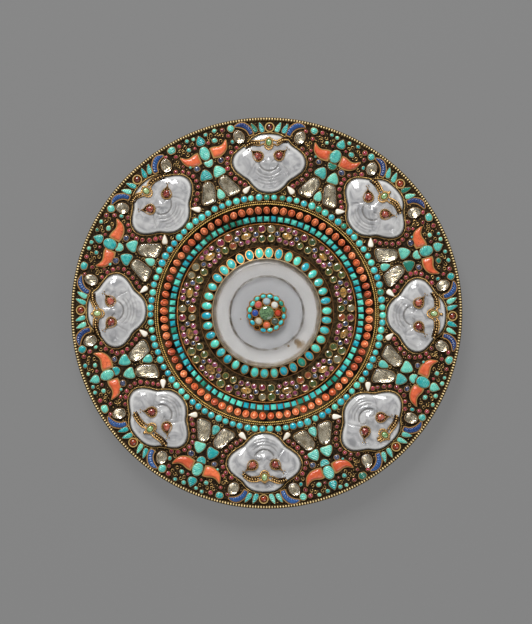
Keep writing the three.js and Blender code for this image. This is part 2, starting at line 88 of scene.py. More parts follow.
def node(tree, kind, inputs=None, **settings):
    """A shader node. Each of its inputs is a value, or another node's output."""
    made = tree.nodes.new("ShaderNode" + kind)
    for setting, value in settings.items():
        setattr(made, setting, value)
    for socket, value in (inputs or {}).items():
        if isinstance(value, bpy.types.NodeSocket):
            tree.links.new(value, made.inputs[socket])
        else:
            made.inputs[socket].default_value = value
    return made


def reckoned(tree, operation, first, second=None, **settings):
    """What a Math node makes of one value or two."""
    inputs = {0: first} if second is None else {0: first, 1: second}
    return node(tree, "Math", inputs, operation=operation, **settings).outputs[0]


floor_colour = linear(126, 126, 126)
floor_width = 6
floor_glow_share = 0.85
bpy.ops.mesh.primitive_plane_add(size=floor_width)
floor = bpy.context.object
floor.name = "floor"
floor_lit_colour = tuple(part * (1 - floor_glow_share) for part in floor_colour[:3]) + (1,)
floor_finish = finish("floor paper", Base_Color=floor_lit_colour, Roughness=0.9, Emission_Color=floor_colour)
floor_tree = floor_finish.node_tree
seen_by = node(floor_tree, "LightPath").outputs
seen_directly = reckoned(floor_tree, "MAXIMUM", seen_by["Is Camera Ray"], seen_by["Is Glossy Ray"])
seen = reckoned(floor_tree, "MAXIMUM", seen_directly, seen_by["Is Transmission Ray"])
floor_glow = reckoned(floor_tree, "MULTIPLY", seen, floor_glow_share)
floor_tree.links.new(floor_glow, floor_tree.nodes["Principled BSDF"].inputs["Emission Strength"])
floor.data.materials.append(floor_finish)

sky_strength = 0.3
world = bpy.data.worlds.new("studio")
world.use_nodes = True
world.node_tree.nodes["Background"].inputs["Strength"].default_value = sky_strength
world.node_tree.nodes["Background"].inputs["Color"].default_value = (1, 1, 1, 1)
bpy.context.scene.world = world

lamps = {
    "key lamp": {"place": (-0.7, 2.3, 2.2), "width": 1.4, "watts": 128},
    "fill lamp": {"place": (1.2, -1.8, 1.9), "width": 1.8, "watts": 18},
}
for lamp_name, lamp_facts in lamps.items():
    bpy.ops.object.light_add(type="AREA", location=lamp_facts["place"])
    lamp = bpy.context.object
    lamp.name = lamp_name
    lamp.data.size = lamp_facts["width"]
    lamp.data.energy = lamp_facts["watts"]
    lamp.rotation_euler = Vector(lamp_facts["place"]).to_track_quat("Z", "Y").to_euler()


# Dish body.
# One sheet of copper, raised to a flange, a sloping wall, a well and a low boss, and fire gilded. The
# ground between the stones is painted dark brown, for its patina and for the shade between the stones,
# and the underside keeps the marks of the hammer.
def effect(name, inputs, outputs):
    """An empty node group with named sockets. Returns it, its own inputs and its output node."""
    group = bpy.data.node_groups.new(name, "ShaderNodeTree")
    for label, kind, value in inputs:
        socket = group.interface.new_socket(label, in_out="INPUT", socket_type="NodeSocket" + kind)
        socket.default_value = value
    for label, kind in outputs:
        group.interface.new_socket(label, in_out="OUTPUT", socket_type="NodeSocket" + kind)
    return group, group.nodes.new("NodeGroupInput").outputs, group.nodes.new("NodeGroupOutput")


def placed_effect(material, group, **inputs):
    """A node group placed in a material, with its own values. Returns its outputs."""
    made = material.node_tree.nodes.new("ShaderNodeGroup")
    made.node_tree = group
    for socket, value in inputs.items():
        label = socket.replace("_", " ")
        if isinstance(value, bpy.types.NodeSocket):
            material.node_tree.links.new(value, made.inputs[label])
        else:
            made.inputs[label].default_value = value
    return made.outputs


def feed(material, **sockets):
    """Links outputs to the sockets of a material's shader."""
    shader = material.node_tree.nodes["Principled BSDF"]
    for socket, value in sockets.items():
        material.node_tree.links.new(value, shader.inputs[socket.replace("_", " ")])


def bumped(material, height, distance):
    """Lets a height raise a material's surface by this distance."""
    bump = node(material.node_tree, "Bump", {"Height": height, "Distance": distance})
    feed(material, Normal=bump.outputs["Normal"])


def mapped(tree, value, low, high, at_low=0.0, at_high=1.0, **settings):
    """A value drawn from its range, low to high, onto another range."""
    return node(tree, "MapRange", {
        "Value": value, "From Min": low, "From Max": high, "To Min": at_low, "To Max": at_high},
        **settings).outputs["Result"]


def blend(tree, share, first, second):
    """A colour between two: the first where the share is 0, and the second where it is 1."""
    return node(tree, "Mix", {"Factor": share, "A": first, "B": second}, data_type="RGBA").outputs["Result"]


def clouds(tree, place, scale, detail, **inputs):
    """Soft random clouds, about so many to the metre."""
    sockets = {"Vector": place, "Scale": scale, "Detail": detail, **inputs}
    return node(tree, "TexNoise", sockets).outputs["Fac"]


# Old gilding: grime lies in patches, and the gold shows where hands have rubbed. Where a piece's height
# sets the lightness, the dark colour low in the corners is painted shade and the gold on top painted light.
gilding, gilding_in, gilding_out = effect(
    "old gilding",
    [("Gold", "Color", linear(190, 158, 98)), ("Dirt", "Color", linear(66, 52, 36)),
     ("Rub", "Float", 0.5), ("Shine", "Float", 1.0), ("Grain per metre", "Float", 400.0)],
    [("Color", "Color"), ("Roughness", "Float"), ("Metallic", "Float"), ("Height", "Float")])
gilding_place = node(gilding, "TexCoord").outputs["Object"]
gilding_patches = clouds(gilding, gilding_place, gilding_in["Grain per metre"], 4.0, Roughness=0.6)
gilding_specks = clouds(gilding, gilding_place, 2600.0, 2.0)
gilding_patch_share = mapped(gilding, gilding_patches, 0.3, 0.7, -0.3, 0.3)
gilding_lightness = reckoned(gilding, "ADD", gilding_in["Rub"], gilding_patch_share, use_clamp=True)
gilding_looks = {
    "Color": blend(gilding, gilding_lightness, gilding_in["Dirt"], gilding_in["Gold"]),
    "Roughness": mapped(gilding, gilding_lightness, 0.0, 1.0, 0.75, 0.3),
    "Metallic": mapped(gilding, gilding_lightness, 0.0, 0.7, 0.95, gilding_in["Shine"]),
    "Height": reckoned(gilding, "ADD", gilding_patches, gilding_specks)}
for socket, value in gilding_looks.items():
    gilding.links.new(value, gilding_out.inputs[socket])


def gilt(name, gold, shade_and_grime, rub=None, shine=0.75, grain_per_metre=400.0, bump_distance=0.00006,
         bright_from=0.5):
    """A gilt finish. Without a lightness it is bright from this share of its height up: painted light and
    wear.
    """
    material = finish(name)
    # Fed from the height, the foot of each piece is painted dark, as shade, and its top bright, as light.
    if rub is None:
        rise = node(material.node_tree, "Attribute", attribute_name="rise").outputs["Fac"]
        rub = mapped(material.node_tree, rise, bright_from, 0.95)
    old = placed_effect(
        material, gilding, Gold=gold, Dirt=shade_and_grime, Rub=rub, Shine=shine, Grain_per_metre=grain_per_metre)
    feed(material, Base_Color=old["Color"], Roughness=old["Roughness"], Metallic=old["Metallic"])
    bumped(material, old["Height"], bump_distance)
    return material


def face_outwards():
    """Turns the faces of the mesh in edit mode outwards, also those of a thin bent shell."""
    bpy.ops.mesh.select_all(action="SELECT")
    bpy.ops.mesh.normals_make_consistent(inside=False)
    if bmesh.from_edit_mesh(bpy.context.edit_object.data).calc_volume(signed=True) < 0:
        bpy.ops.mesh.flip_normals()


def mend_mesh():
    """Merges seams and poles of the mesh in edit mode, and turns its faces outwards."""
    weld_distance = 1e-6
    bpy.ops.mesh.select_all(action="SELECT")
    bpy.ops.mesh.remove_doubles(threshold=weld_distance)
    bpy.ops.mesh.dissolve_degenerate(threshold=weld_distance)
    bpy.ops.mesh.delete_loose()
    face_outwards()


def turned(name, profile, rounding=0.0):
    """A closed profile of (radius, height) corners, spun round the dish's axis."""
    turned_steps = 192
    bpy.ops.mesh.primitive_circle_add(vertices=len(profile))
    piece = bpy.context.object
    piece.name = piece.data.name = name
    for corner, (radius, height) in zip(piece.data.vertices, profile):
        corner.co = (radius, 0, height)
        corner.select = radius > 0
    bpy.ops.object.mode_set(mode="EDIT")
    if rounding:
        bpy.ops.mesh.bevel(offset=rounding, segments=3, affect="VERTICES")
    bpy.ops.mesh.select_all(action="SELECT")
    bpy.ops.mesh.spin(steps=turned_steps, angle=2 * math.pi, center=(0, 0, 0), axis=(0, 0, 1))
    mend_mesh()
    bpy.ops.object.mode_set(mode="OBJECT")
    bpy.ops.object.shade_smooth_by_angle(angle=math.radians(35))
    return piece


def fix(piece, material):
    """Gives a piece its finish and its slot, and fixes it to the dish."""
    piece.data.materials.clear()
    piece.data.materials.append(material)
    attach(piece, "root")


def note(mesh, name, values):
    """Writes one number at each point of a mesh, for a finish to read."""
    mesh.attributes.new(name, "FLOAT", "POINT").data.foreach_set("value", values)


body_low, body_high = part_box("dish_body")
flange_level = body_high.z
sheet = 1.5 * mm
floor_level = body_low.z + sheet
well_radius = 76.6 * mm
wall_width = 14.4 * mm
boss_radius = 46.6 * mm
boss_slope_width = 9.4 * mm
boss_height = 2.5 * mm
boss_level = floor_level + boss_height
boss_foot_radius = boss_radius + boss_slope_width
flange_inner = well_radius + wall_width
edge_radius = body_high.x
sheet_rounding = 0.9 * mm

body_upper = [
    (0, boss_level), (boss_radius, boss_level), (boss_foot_radius, floor_level), (well_radius, floor_level),
    (flange_inner, flange_level), (edge_radius, flange_level)]
body_lower = [(radius, height - sheet) for radius, height in reversed(body_upper)]
dish_body = turned("dish_sheet", body_upper + body_lower, sheet_rounding)
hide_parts("dish_body")

# Painted shade: the upper face, seen only between the stones, is kept dark; the underside is brighter.
upper_brightness = 0.1
under_brightness = 0.48


def mark_sheet_brightness(piece):
    """Notes how bright each point of the sheet is: dark on top, patina and painted shade, brighter
    underneath.
    """
    note(piece.data, "rise", [
        under_brightness if corner.normal.z < 0 else upper_brightness for corner in piece.data.vertices])


mark_sheet_brightness(dish_body)
sheet_gilding = gilt(
    "gilt sheet", linear(140, 110, 66), linear(18, 13, 8), bright_from=0.0, grain_per_metre=90.0,
    bump_distance=0.0001)
sheet_tree = sheet_gilding.node_tree
hammer_marks = node(sheet_tree, "TexVoronoi", {
    "Vector": node(sheet_tree, "TexCoord").outputs["Object"], "Scale": 130.0}, feature="SMOOTH_F1")
hammer_bump = node(sheet_tree, "Bump", {"Height": hammer_marks.outputs["Distance"], "Distance": 0.0003})
sheet_tree.links.new(hammer_bump.outputs["Normal"], sheet_tree.nodes["Bump"].inputs["Normal"])
fix(dish_body, sheet_gilding)

# Foot ring.
# A plain hoop of thicker sheet, soldered under the well, with a rounded lower edge.
foot_low, foot_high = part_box("foot_ring")
foot_outer = foot_high.x
foot_width = 3 * mm
foot_rounding = 0.5 * mm
foot_profile = [
    (foot_outer - foot_width, foot_low.z), (foot_outer - foot_width / 2, foot_high.z),
    (foot_outer, foot_high.z), (foot_outer, foot_low.z)]
foot_ring = turned("foot_hoop", foot_profile, foot_rounding)
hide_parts("foot_ring")
mark_sheet_brightness(foot_ring)
fix(foot_ring, sheet_gilding)


# Pearled wire of the rim.
# Four hundred and forty grains rolled on one wire and soldered to a flat strip along the edge of the flange.
# The grains are longer across the rim than along it. Their gilding is painted bright on top, as light,
# and dark down their sides, as shade.
def mark_rise(pattern):
    """Notes how high each point of a pattern stands on it, from 0 at its foot to 1 at its top."""
    heights = np.array([vertex.co.z for vertex in pattern.data.vertices])
    share = (heights - heights.min()) / np.ptp(heights)
    note(pattern.data, "rise", share)
    return pattern


def select_facing(piece, up):
    """Selects just the faces that look straight up, or straight down."""
    chosen = [face for face in piece.data.polygons if face.normal.z * up > 0.9]
    corners = {corner for face in chosen for corner in face.vertices}
    for corner in piece.data.vertices:
        corner.select = corner.index in corners
    for edge in piece.data.edges:
        edge.select = corners.issuperset(edge.vertices)
    for face in piece.data.polygons:
        face.select = corners.issuperset(face.vertices)


def half_ball(name, width, length, height, segments, rings, girdle=0.0):
    """A domed stone: a ball cut in half and drawn to an oval, with a short upright girdle under it."""
    bpy.ops.mesh.primitive_uv_sphere_add(segments=segments, ring_count=2 * rings, radius=0.5)
    pattern = bpy.context.object
    pattern.name = pattern.data.name = name
    bpy.ops.object.mode_set(mode="EDIT")
    bpy.ops.mesh.select_all(action="SELECT")
    bpy.ops.mesh.bisect(plane_co=(0, 0, 0), plane_no=(0, 0, 1), clear_inner=True, use_fill=True)
    bpy.ops.mesh.select_all(action="SELECT")
    bpy.ops.transform.resize(value=(width, length, 2 * height), center_override=(0, 0, 0))
    if girdle:
        bpy.ops.object.mode_set(mode="OBJECT")
        select_facing(pattern, up=-1)
        bpy.ops.object.mode_set(mode="EDIT")
        bpy.ops.mesh.extrude_region_move(TRANSFORM_OT_translate={"value": (0, 0, -girdle)})
        bpy.ops.mesh.select_all(action="SELECT")
        bpy.ops.transform.translate(value=(0, 0, girdle))
    mend_mesh()
    bpy.ops.object.mode_set(mode="OBJECT")
    bpy.ops.object.shade_smooth_by_angle(angle=math.radians(60))
    return mark_rise(pattern)


def on_ring(angle, radius, level, slope=0.0, turn=0.0, size=(1, 1, 1)):
    """The place for a copy: this far clockwise from +Y, leaning with the sheet, and turned on its foot."""
    place = Matrix.Rotation(-angle, 4, "Z") @ Matrix.Translation((0, radius, level))
    turned_foot = Matrix.Rotation(slope, 4, "X") @ Matrix.Rotation(turn, 4, "Z")
    return place @ turned_foot @ Matrix.Diagonal((*size, 1))


def gathered(name, stones, tones=None):
    """Copies of several patterns, each with its own mesh, place and tone, joined to one piece."""
    chance = random.Random(name)
    merged = bmesh.new()
    for count, (pattern, place) in enumerate(stones):
        mesh = pattern.data.copy()
        mesh.transform(place)
        tone = tones[count] if tones else chance.random()
        note(mesh, "tone", [tone] * len(mesh.vertices))
        merged.from_mesh(mesh)
        bpy.data.meshes.remove(mesh)
    piece = bpy.data.objects.new(name, bpy.data.meshes.new(name))
    merged.to_mesh(piece.data)
    merged.free()
    bpy.context.scene.collection.objects.link(piece)
    return piece


def copies(name, pattern, places, tones=None):
    """Copies of one pattern, joined to one piece. The pattern itself is used up."""
    piece = gathered(name, [(pattern, place) for place in places], tones)
    bpy.data.objects.remove(pattern)
    return piece


def around(count, start=0.0):
    """Even steps round the dish, clockwise from +Y."""
    return [start + 2 * math.pi * step / count for step in range(count)]


def hoop(name, inner, outer, low, high, rounding=0.0):
    """A flat ring, or a round plate where the inner radius is zero."""
    return turned(name, [(inner, low), (inner, high), (outer, high), (outer, low)], rounding)


grain_count = 440
grain_length = 2.9 * mm
grain_width = 1.85 * mm
rim_margin = 0.05 * mm
grain_height = rim_level - flange_level - 2 * rim_margin
grain_radius = dish_radius - grain_length / 2 - rim_margin
grain = half_ball("grain", grain_width, grain_length, grain_height, segments=8, rings=3)
rim_grains = copies("rim_grains", grain, [
    on_ring(angle, grain_radius, flange_level) for angle in around(grain_count)])
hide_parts("rim_pearl_wire")
# Painted light and shade: each grain is gold on top and dark down its sides.
rim_gilding = gilt(
    "rim gilding with painted light and shade", linear(255, 226, 162), linear(36, 23, 12), shine=0.35, bright_from=0.32)
fix(rim_grains, rim_gilding)

rim_strip_width = 3.4 * mm
rim_strip_height = 0.55 * mm
rim_strip_rounding = 0.15 * mm
rim_strip_outer = dish_radius - rim_margin
rim_strip = hoop(
    "rim_strip", rim_strip_outer - rim_strip_width, rim_strip_outer, flange_level,
    flange_level + rim_strip_height, rim_strip_rounding)
# The strip shows only between the grains; its dark colour is painted shade there as well as dull gilding.
strip_gilding = gilt(
    "gilding of the rim strip", linear(124, 92, 52), linear(20, 13, 7), rub=0.28, grain_per_metre=600.0)
fix(rim_strip, strip_gilding)


# Rope wires.
# Two wires twisted together to a rope. A bright one lies beside a pearled wire where the flange turns down
# into the well, a brown one runs below the square turquoises, and a finer one parts gem band and boss.
def rolled(name, rings, looped=False, smooth_degrees=180):
    """A sheet of quads rolled round: each ring is one round of points, and the seams are joined."""
    points = np.asarray(rings, float)
    points = np.concatenate([points, points[:, :1]], axis=1)
    if looped:
        points = np.concatenate([points, points[:1]])
    rows, columns = points.shape[:2]
    bpy.ops.mesh.primitive_grid_add(x_subdivisions=columns - 1, y_subdivisions=rows - 1)
    piece = bpy.context.object
    piece.name = piece.data.name = name
    piece.data.vertices.foreach_set("co", points.ravel())
    bpy.ops.object.mode_set(mode="EDIT")
    mend_mesh()
    bpy.ops.object.mode_set(mode="OBJECT")
    bpy.ops.object.shade_smooth_by_angle(angle=math.radians(smooth_degrees))
    return piece


def joined(name, parts):
    """Several meshes joined to one piece."""
    bpy.ops.object.select_all(action="DESELECT")
    for part in parts:
        part.select_set(True)
    bpy.context.view_layer.objects.active = parts[0]
    bpy.ops.object.join()
    parts[0].name = parts[0].data.name = name
    return parts[0]


def rope(name, path, width, lay, steps_per_lay=6, sides=5):
    """Two strands twisted about a closed path in a level plane. The lay is the length of one turn."""
    path = np.asarray(path, float)
    closed = np.vstack([path, path[:1]])
    reach = np.concatenate([[0], np.cumsum(np.linalg.norm(np.diff(closed, axis=0), axis=1))])
    turns = round(reach[-1] / lay)
    stations = np.arange(turns * steps_per_lay) / (turns * steps_per_lay)
    middle = np.stack([np.interp(stations * reach[-1], reach, closed[:, axis]) for axis in range(3)], axis=1)
    along = np.roll(middle, -1, axis=0) - np.roll(middle, 1, axis=0)
    along /= np.linalg.norm(along, axis=1, keepdims=True)
    side = np.stack([along[:, 1], -along[:, 0], np.zeros(len(along))], axis=1)
    up = np.array([0, 0, 1])
    strand_share = 0.27
    strand_radius = width * strand_share
    parts = []
    for first_turn in (0, math.pi):
        twist = (first_turn + 2 * math.pi * turns * stations)[:, None]
        core = middle + (np.cos(twist) * side + np.sin(twist) * up) * (width / 2 - strand_radius)
        rounds = [
            core + strand_radius * (math.cos(turn) * side + math.sin(turn) * up)
            for turn in around(sides)]
        parts.append(rolled(name, np.stack(rounds, axis=1), looped=True))
    piece = joined(name, parts)
    return mark_rise(piece)


def circle(radius, level, steps=240):
    """Points round the dish at one level."""
    return [(radius * math.sin(angle), radius * math.cos(angle), level) for angle in around(steps)]


rope_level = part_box("flange_rope_wires")[0].z
flange_rope_width = 1.4 * mm
flange_rope_lay = 3.6 * mm
flange_rope_radius = 109.3 * pixel
flange_rope = rope(
    "flange_rope", circle(flange_rope_radius, rope_level + flange_rope_width / 2), flange_rope_width,
    flange_rope_lay)
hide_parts("flange_rope_wires")
wire_gilding = gilt("gilt wire", linear(255, 206, 110), linear(26, 17, 9), shine=0.45, bright_from=0.7)
fix(flange_rope, wire_gilding)

flange_pearl_count = 370
flange_pearl_radius = 111.5 * pixel
flange_pearl_width = 1.45 * mm
flange_pearl_height = 1.3 * mm
flange_pearl = half_ball(
    "flange_pearl", flange_pearl_width, flange_pearl_width, flange_pearl_height, segments=8, rings=3)
flange_pearls = copies("flange_pearls", flange_pearl, [
    on_ring(angle, flange_pearl_radius, rope_level) for angle in around(flange_pearl_count)])
pearl_gilding = gilt("pearled wire gilding", linear(244, 200, 116), linear(26, 17, 9), shine=0.5)
fix(flange_pearls, pearl_gilding)

well_rope_width = 1.15 * mm
well_rope_lay = 2.6 * mm
well_rope_inset = 1.0 * mm
well_rope_path = circle(well_radius - well_rope_inset, floor_level + well_rope_width)
well_rope = rope("well_rope", well_rope_path, well_rope_width, well_rope_lay)
brown_gilding = gilt("brown gilding of the thin ropes", linear(214, 140, 70), linear(36, 18, 9), shine=0.6)
fix(well_rope, brown_gilding)

band_rope_width = 0.85 * mm
band_rope_lay = 2.2 * mm
band_rope_radius = 56.7 * mm
band_rope = rope(
    "band_rope", circle(band_rope_radius, floor_level + band_rope_width / 2), band_rope_width, band_rope_lay)
band_rope_gilding = gilt("dull gilding of the finest rope", linear(140, 98, 58), linear(26, 15, 8))
fix(band_rope, band_rope_gilding)


# Round turquoises.
# Ninety-five round stones of many blues and greens, each in a low collet on the flange. Wax has crept out
# round the stones and gone red brown, and each stone is painted darker towards its foot, as shade.
def collet(name, width, length, height, wall, sides):
    """A setting: a cylinder drawn to an oval, wider at its foot, with a pocket sunk for the stone."""
    foot_growth = 1.12
    pocket_share = 0.6
    bpy.ops.mesh.primitive_cylinder_add(vertices=sides, radius=0.5, depth=1)
    pattern = bpy.context.object
    pattern.name = pattern.data.name = name
    for corner in pattern.data.vertices:
        foot = corner.co.z < 0
        wide = foot_growth if foot else 1
        corner.co = (corner.co.x * width * wide, corner.co.y * length * wide, 0 if foot else height)
    select_facing(pattern, up=1)
    bpy.ops.object.mode_set(mode="EDIT")
    bpy.ops.mesh.inset(thickness=wall)
    bpy.ops.mesh.inset(thickness=wall / 2, depth=-height * pocket_share)
    bpy.ops.object.mode_set(mode="OBJECT")
    bpy.ops.object.shade_smooth_by_angle(angle=math.radians(40))
    return mark_rise(pattern)


# Mottled stone: each stone has its own tone between a pale and a deep colour, clouds, and a few dark veins.
# Each is painted darker towards its foot, in its darkest colour, for the shade there and for grime.
mottle, mottle_in, mottle_out = effect(
    "mottled stone",
    [("Pale", "Color", (1, 1, 1, 1)), ("Deep", "Color", (0, 0, 0, 1)), ("Vein", "Color", (0, 0, 0, 1)),
     ("Odd", "Color", (0, 0, 0, 1)), ("Odd share", "Float", 0.0), ("Veining", "Float", 0.3),
     ("Cloudiness", "Float", 0.25), ("Clouds per metre", "Float", 350.0), ("Dirt below", "Float", 0.3),
     ("Dirt", "Float", 0.0)],
    [("Color", "Color"), ("Height", "Float")])
mottle_tone = node(mottle, "Attribute", attribute_name="tone").outputs["Fac"]


def chosen_stones(spread, share):
    """One on this share of the stones, and zero on the others. Their tones times the spread choose them."""
    luck = reckoned(mottle, "FRACT", reckoned(mottle, "MULTIPLY", mottle_tone, spread))
    return reckoned(mottle, "LESS_THAN", luck, share)


tone_shift = 17.0
odd_spread = 23.3
vein_spread = 9.7
mottle_place = node(mottle, "VectorMath", {
    0: node(mottle, "TexCoord").outputs["Object"],
    1: reckoned(mottle, "MULTIPLY", mottle_tone, tone_shift)}, operation="ADD").outputs[0]
mottle_clouds = clouds(mottle, mottle_place, mottle_in["Clouds per metre"], 3.0)
mottle_cloud_share = mapped(mottle, mottle_clouds, 0.35, 0.65, -1.0, 1.0)
mottle_shift = reckoned(mottle, "MULTIPLY", mottle_cloud_share, mottle_in["Cloudiness"])
mottle_share = reckoned(mottle, "ADD", mottle_tone, mottle_shift, use_clamp=True)
mottle_colour = blend(mottle, mottle_share, mottle_in["Pale"], mottle_in["Deep"])
mottle_odd = chosen_stones(odd_spread, mottle_in["Odd share"])
mottle_picked = blend(mottle, mottle_odd, mottle_colour, mottle_in["Odd"])
mottle_veins = clouds(mottle, mottle_place, 520.0, 2.0, Distortion=1.2)
mottle_vein_away = reckoned(mottle, "ABSOLUTE", reckoned(mottle, "SUBTRACT", mottle_veins, 0.5))
mottle_vein_share = reckoned(
    mottle, "MULTIPLY", mapped(mottle, mottle_vein_away, 0.0, 0.02, 1.0, 0.0),
    chosen_stones(vein_spread, mottle_in["Veining"]))
mottle_veined = blend(mottle, mottle_vein_share, mottle_picked, mottle_in["Vein"])
# Painted shade and grime: the lower part of each stone, up to the share 'Dark below', turns to its darkest
# colour.
mottle_rise = node(mottle, "Attribute", attribute_name="rise").outputs["Fac"]
mottle_low = mapped(
    mottle, mottle_rise, 0.0, mottle_in["Dirt below"], 1.0, 0.0, interpolation_type="SMOOTHSTEP")
mottle_dark_foot_share = reckoned(mottle, "MULTIPLY", mottle_low, mottle_in["Dirt"])
mottle_with_dark_foot = blend(mottle, mottle_dark_foot_share, mottle_veined, mottle_in["Vein"])
mottle.links.new(mottle_with_dark_foot, mottle_out.inputs["Color"])
mottle.links.new(mottle_clouds, mottle_out.inputs["Height"])


def opaque_stone(name, pale, deep, darkest, odd=None, odd_share=0.0, veining=0.3, shade_and_grime_below=0.35, shade_and_grime=0.8,
                 roughness=0.25, bump_distance=0.0002):
    """A polished opaque stone, painted darker round its foot for shade and grime."""
    material = finish(name, Roughness=roughness, Coat_Weight=0.5, Coat_Roughness=0.05)
    look = placed_effect(
        material, mottle, Pale=pale, Deep=deep, Vein=darkest, Odd=odd or deep, Odd_share=odd_share,
        Veining=veining, Dirt_below=shade_and_grime_below, Dirt=shade_and_grime)
    feed(material, Base_Color=look["Color"])
    bumped(material, look["Height"], bump_distance)
    return material


turquoise_finish = opaque_stone(
    "turquoise", linear(96, 216, 190), linear(0, 152, 174), linear(46, 24, 14), odd=linear(26, 134, 112),
    odd_share=0.05, shade_and_grime_below=0.6, roughness=0.15)
collet_gilding = gilt("collet gilding", linear(190, 138, 78), linear(34, 18, 10))

bead_count = 95
bead_radius = 116 * pixel
bead_width = 6.7 * pixel
bead_height = 1.7 * mm
bead_collet_height = 1.3 * mm
bead_collet_wall = 0.3 * mm
bead_girdle = 0.9 * mm
ground_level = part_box("turquoise_bead_row")[0].z
chance = random.Random("beads")
bead_spots = [
    (angle + chance.uniform(-0.004, 0.004), bead_radius + chance.uniform(-0.4, 0.4) * pixel,
     chance.uniform(0.86, 1.09))
    for angle in around(bead_count)]
bead = half_ball("bead", bead_width, bead_width, bead_height, segments=12, rings=4, girdle=bead_girdle)
turquoise_beads = copies("turquoise_beads", bead, [
    on_ring(angle, radius, ground_level, size=(size, size * chance.uniform(0.94, 1.06), 0.85 + 0.15 * size))
    for angle, radius, size in bead_spots])
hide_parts("turquoise_bead_row")
fix(turquoise_beads, turquoise_finish)
bead_collet = collet(
    "bead_collet", bead_width + 2 * bead_collet_wall, bead_width + 2 * bead_collet_wall, bead_collet_height,
    bead_collet_wall, sides=14)
bead_collets = copies("bead_collets", bead_collet, [
    on_ring(angle, radius, ground_level, size=(size, size, 1)) for angle, radius, size in bead_spots])
fix(bead_collets, collet_gilding)


# Corals.
# Seventy-seven coral buttons on the upper half of the wall. Each is turned with a groove round a knob,
# which stands a little below its middle.
def oval(width, length, sides):
    """An oval outline of so many corners."""
    return [(width / 2 * math.cos(turn), length / 2 * math.sin(turn)) for turn in around(sides)]


def drawn_in(steps, middle, reach, way=1):
    """Draws the chosen face in towards its middle and raises it, step by step, by (thickness, depth)."""
    smallest_share = 0.05
    for thickness, depth in steps:
        share = np.maximum(1 - thickness / reach, smallest_share)
        bpy.ops.mesh.extrude_region_move(TRANSFORM_OT_translate={"value": (0, 0, way * depth)})
        bpy.ops.transform.resize(value=(*share, 1), center_override=(*middle, 0))
        reach = reach * share


def raised(name, outline, height, steps, smooth_degrees, even=False, under=()):
    """A stump on this outline, drawn in at the top and under its foot step by step, or evenly inset."""
    outline = np.asarray(outline, float)
    ahead = np.roll(outline, -1, axis=0)
    if np.sum(outline[:, 0] * ahead[:, 1] - outline[:, 1] * ahead[:, 0]) < 0:
        outline = outline[::-1]
    low, high = outline.min(axis=0), outline.max(axis=0)
    middle, reach = (low + high) / 2, (high - low) / 2
    bpy.ops.mesh.primitive_circle_add(vertices=len(outline), fill_type="NGON")
    pattern = bpy.context.object
    pattern.name = pattern.data.name = name
    for corner, (x, y) in zip(pattern.data.vertices, outline):
        corner.co = (x, y, 0)
    bpy.ops.object.mode_set(mode="EDIT")
    bpy.ops.mesh.select_all(action="SELECT")
    bpy.ops.mesh.extrude_region_move(TRANSFORM_OT_translate={"value": (0, 0, height)})
    if even:
        for thickness, depth in steps:
            bpy.ops.mesh.inset(thickness=thickness, depth=depth, use_even_offset=True)
    else:
        drawn_in(steps, middle, reach)
    face_outwards()
    bpy.ops.object.mode_set(mode="OBJECT")
    if under:
        select_facing(pattern, up=-1)
        bpy.ops.object.mode_set(mode="EDIT")
        drawn_in(under, middle, reach, way=-1)
        bpy.ops.mesh.select_all(action="SELECT")
        bpy.ops.transform.translate(value=(0, 0, sum(depth for thickness, depth in under)))
        face_outwards()
        bpy.ops.object.mode_set(mode="OBJECT")
    bpy.ops.object.shade_smooth_by_angle(angle=math.radians(smooth_degrees))
    return mark_rise(pattern)


wall_slope = math.atan2(flange_level - floor_level, wall_width)


def on_wall(angle, share, turn=0.0, size=(1, 1, 1)):
    """A place on the wall: the share counts up from its foot."""
    radius = well_radius + share * wall_width
    level = floor_level + share * (flange_level - floor_level)
    return on_ring(angle, radius, level, wall_slope, turn, size)


coral_count = 77
coral_share = 0.735
coral_width = 6.5 * mm
coral_length = 8.2 * mm
coral_height = 0.9 * mm
coral_insets = [
    (0.3 * mm, 0.55 * mm), (0.5 * mm, 0.3 * mm), (0.25 * mm, -1.1 * mm), (0.4 * mm, 0.0),
    (0.25 * mm, 1.2 * mm),
    (0.45 * mm, 0.35 * mm)]
coral_tilt = 0.12
coral_knob_share = 0.35
coral = raised("coral_button", oval(coral_width, coral_length, 12), coral_height, coral_insets, 55)
for corner in coral.data.vertices:
    share = math.hypot(corner.co.x / coral_width, corner.co.y / coral_length) / coral_knob_share
    corner.co.y -= max(0.0, 1 - share) * coral_length * coral_tilt
chance = random.Random("corals")
coral_places = [
    on_wall(angle, coral_share, chance.uniform(-0.2, 0.2),
            (chance.uniform(0.84, 0.99), chance.uniform(0.82, 0.96), chance.uniform(0.85, 1.0)))
    for angle in around(coral_count)]
corals = copies("corals", coral, coral_places)
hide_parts("coral_row")
# Painted shade: the dark foot of this finish also fills each coral's groove.
coral_finish = opaque_stone(
    "coral", linear(252, 150, 94), linear(214, 92, 44), linear(34, 12, 8), odd=linear(196, 90, 54),
    odd_share=0.2, veining=0.25, shade_and_grime_below=0.7, shade_and_grime=1.0, roughness=0.22)
fix(corals, coral_finish)

# Square turquoises.
# Eighty-six stones cut to four slopes, side by side in one channel along the foot of the wall. Between
# each two stands a strip of gilt sheet, under wax that has gone red.
def block(name, width, length, height):
    """A block that stands on its foot."""
    bpy.ops.mesh.primitive_cube_add(size=1)
    pattern = bpy.context.object
    pattern.name = pattern.data.name = name
    for corner in pattern.data.vertices:
        corner.co = (corner.co.x * width, corner.co.y * length, (corner.co.z + 0.5) * height)
    return pattern


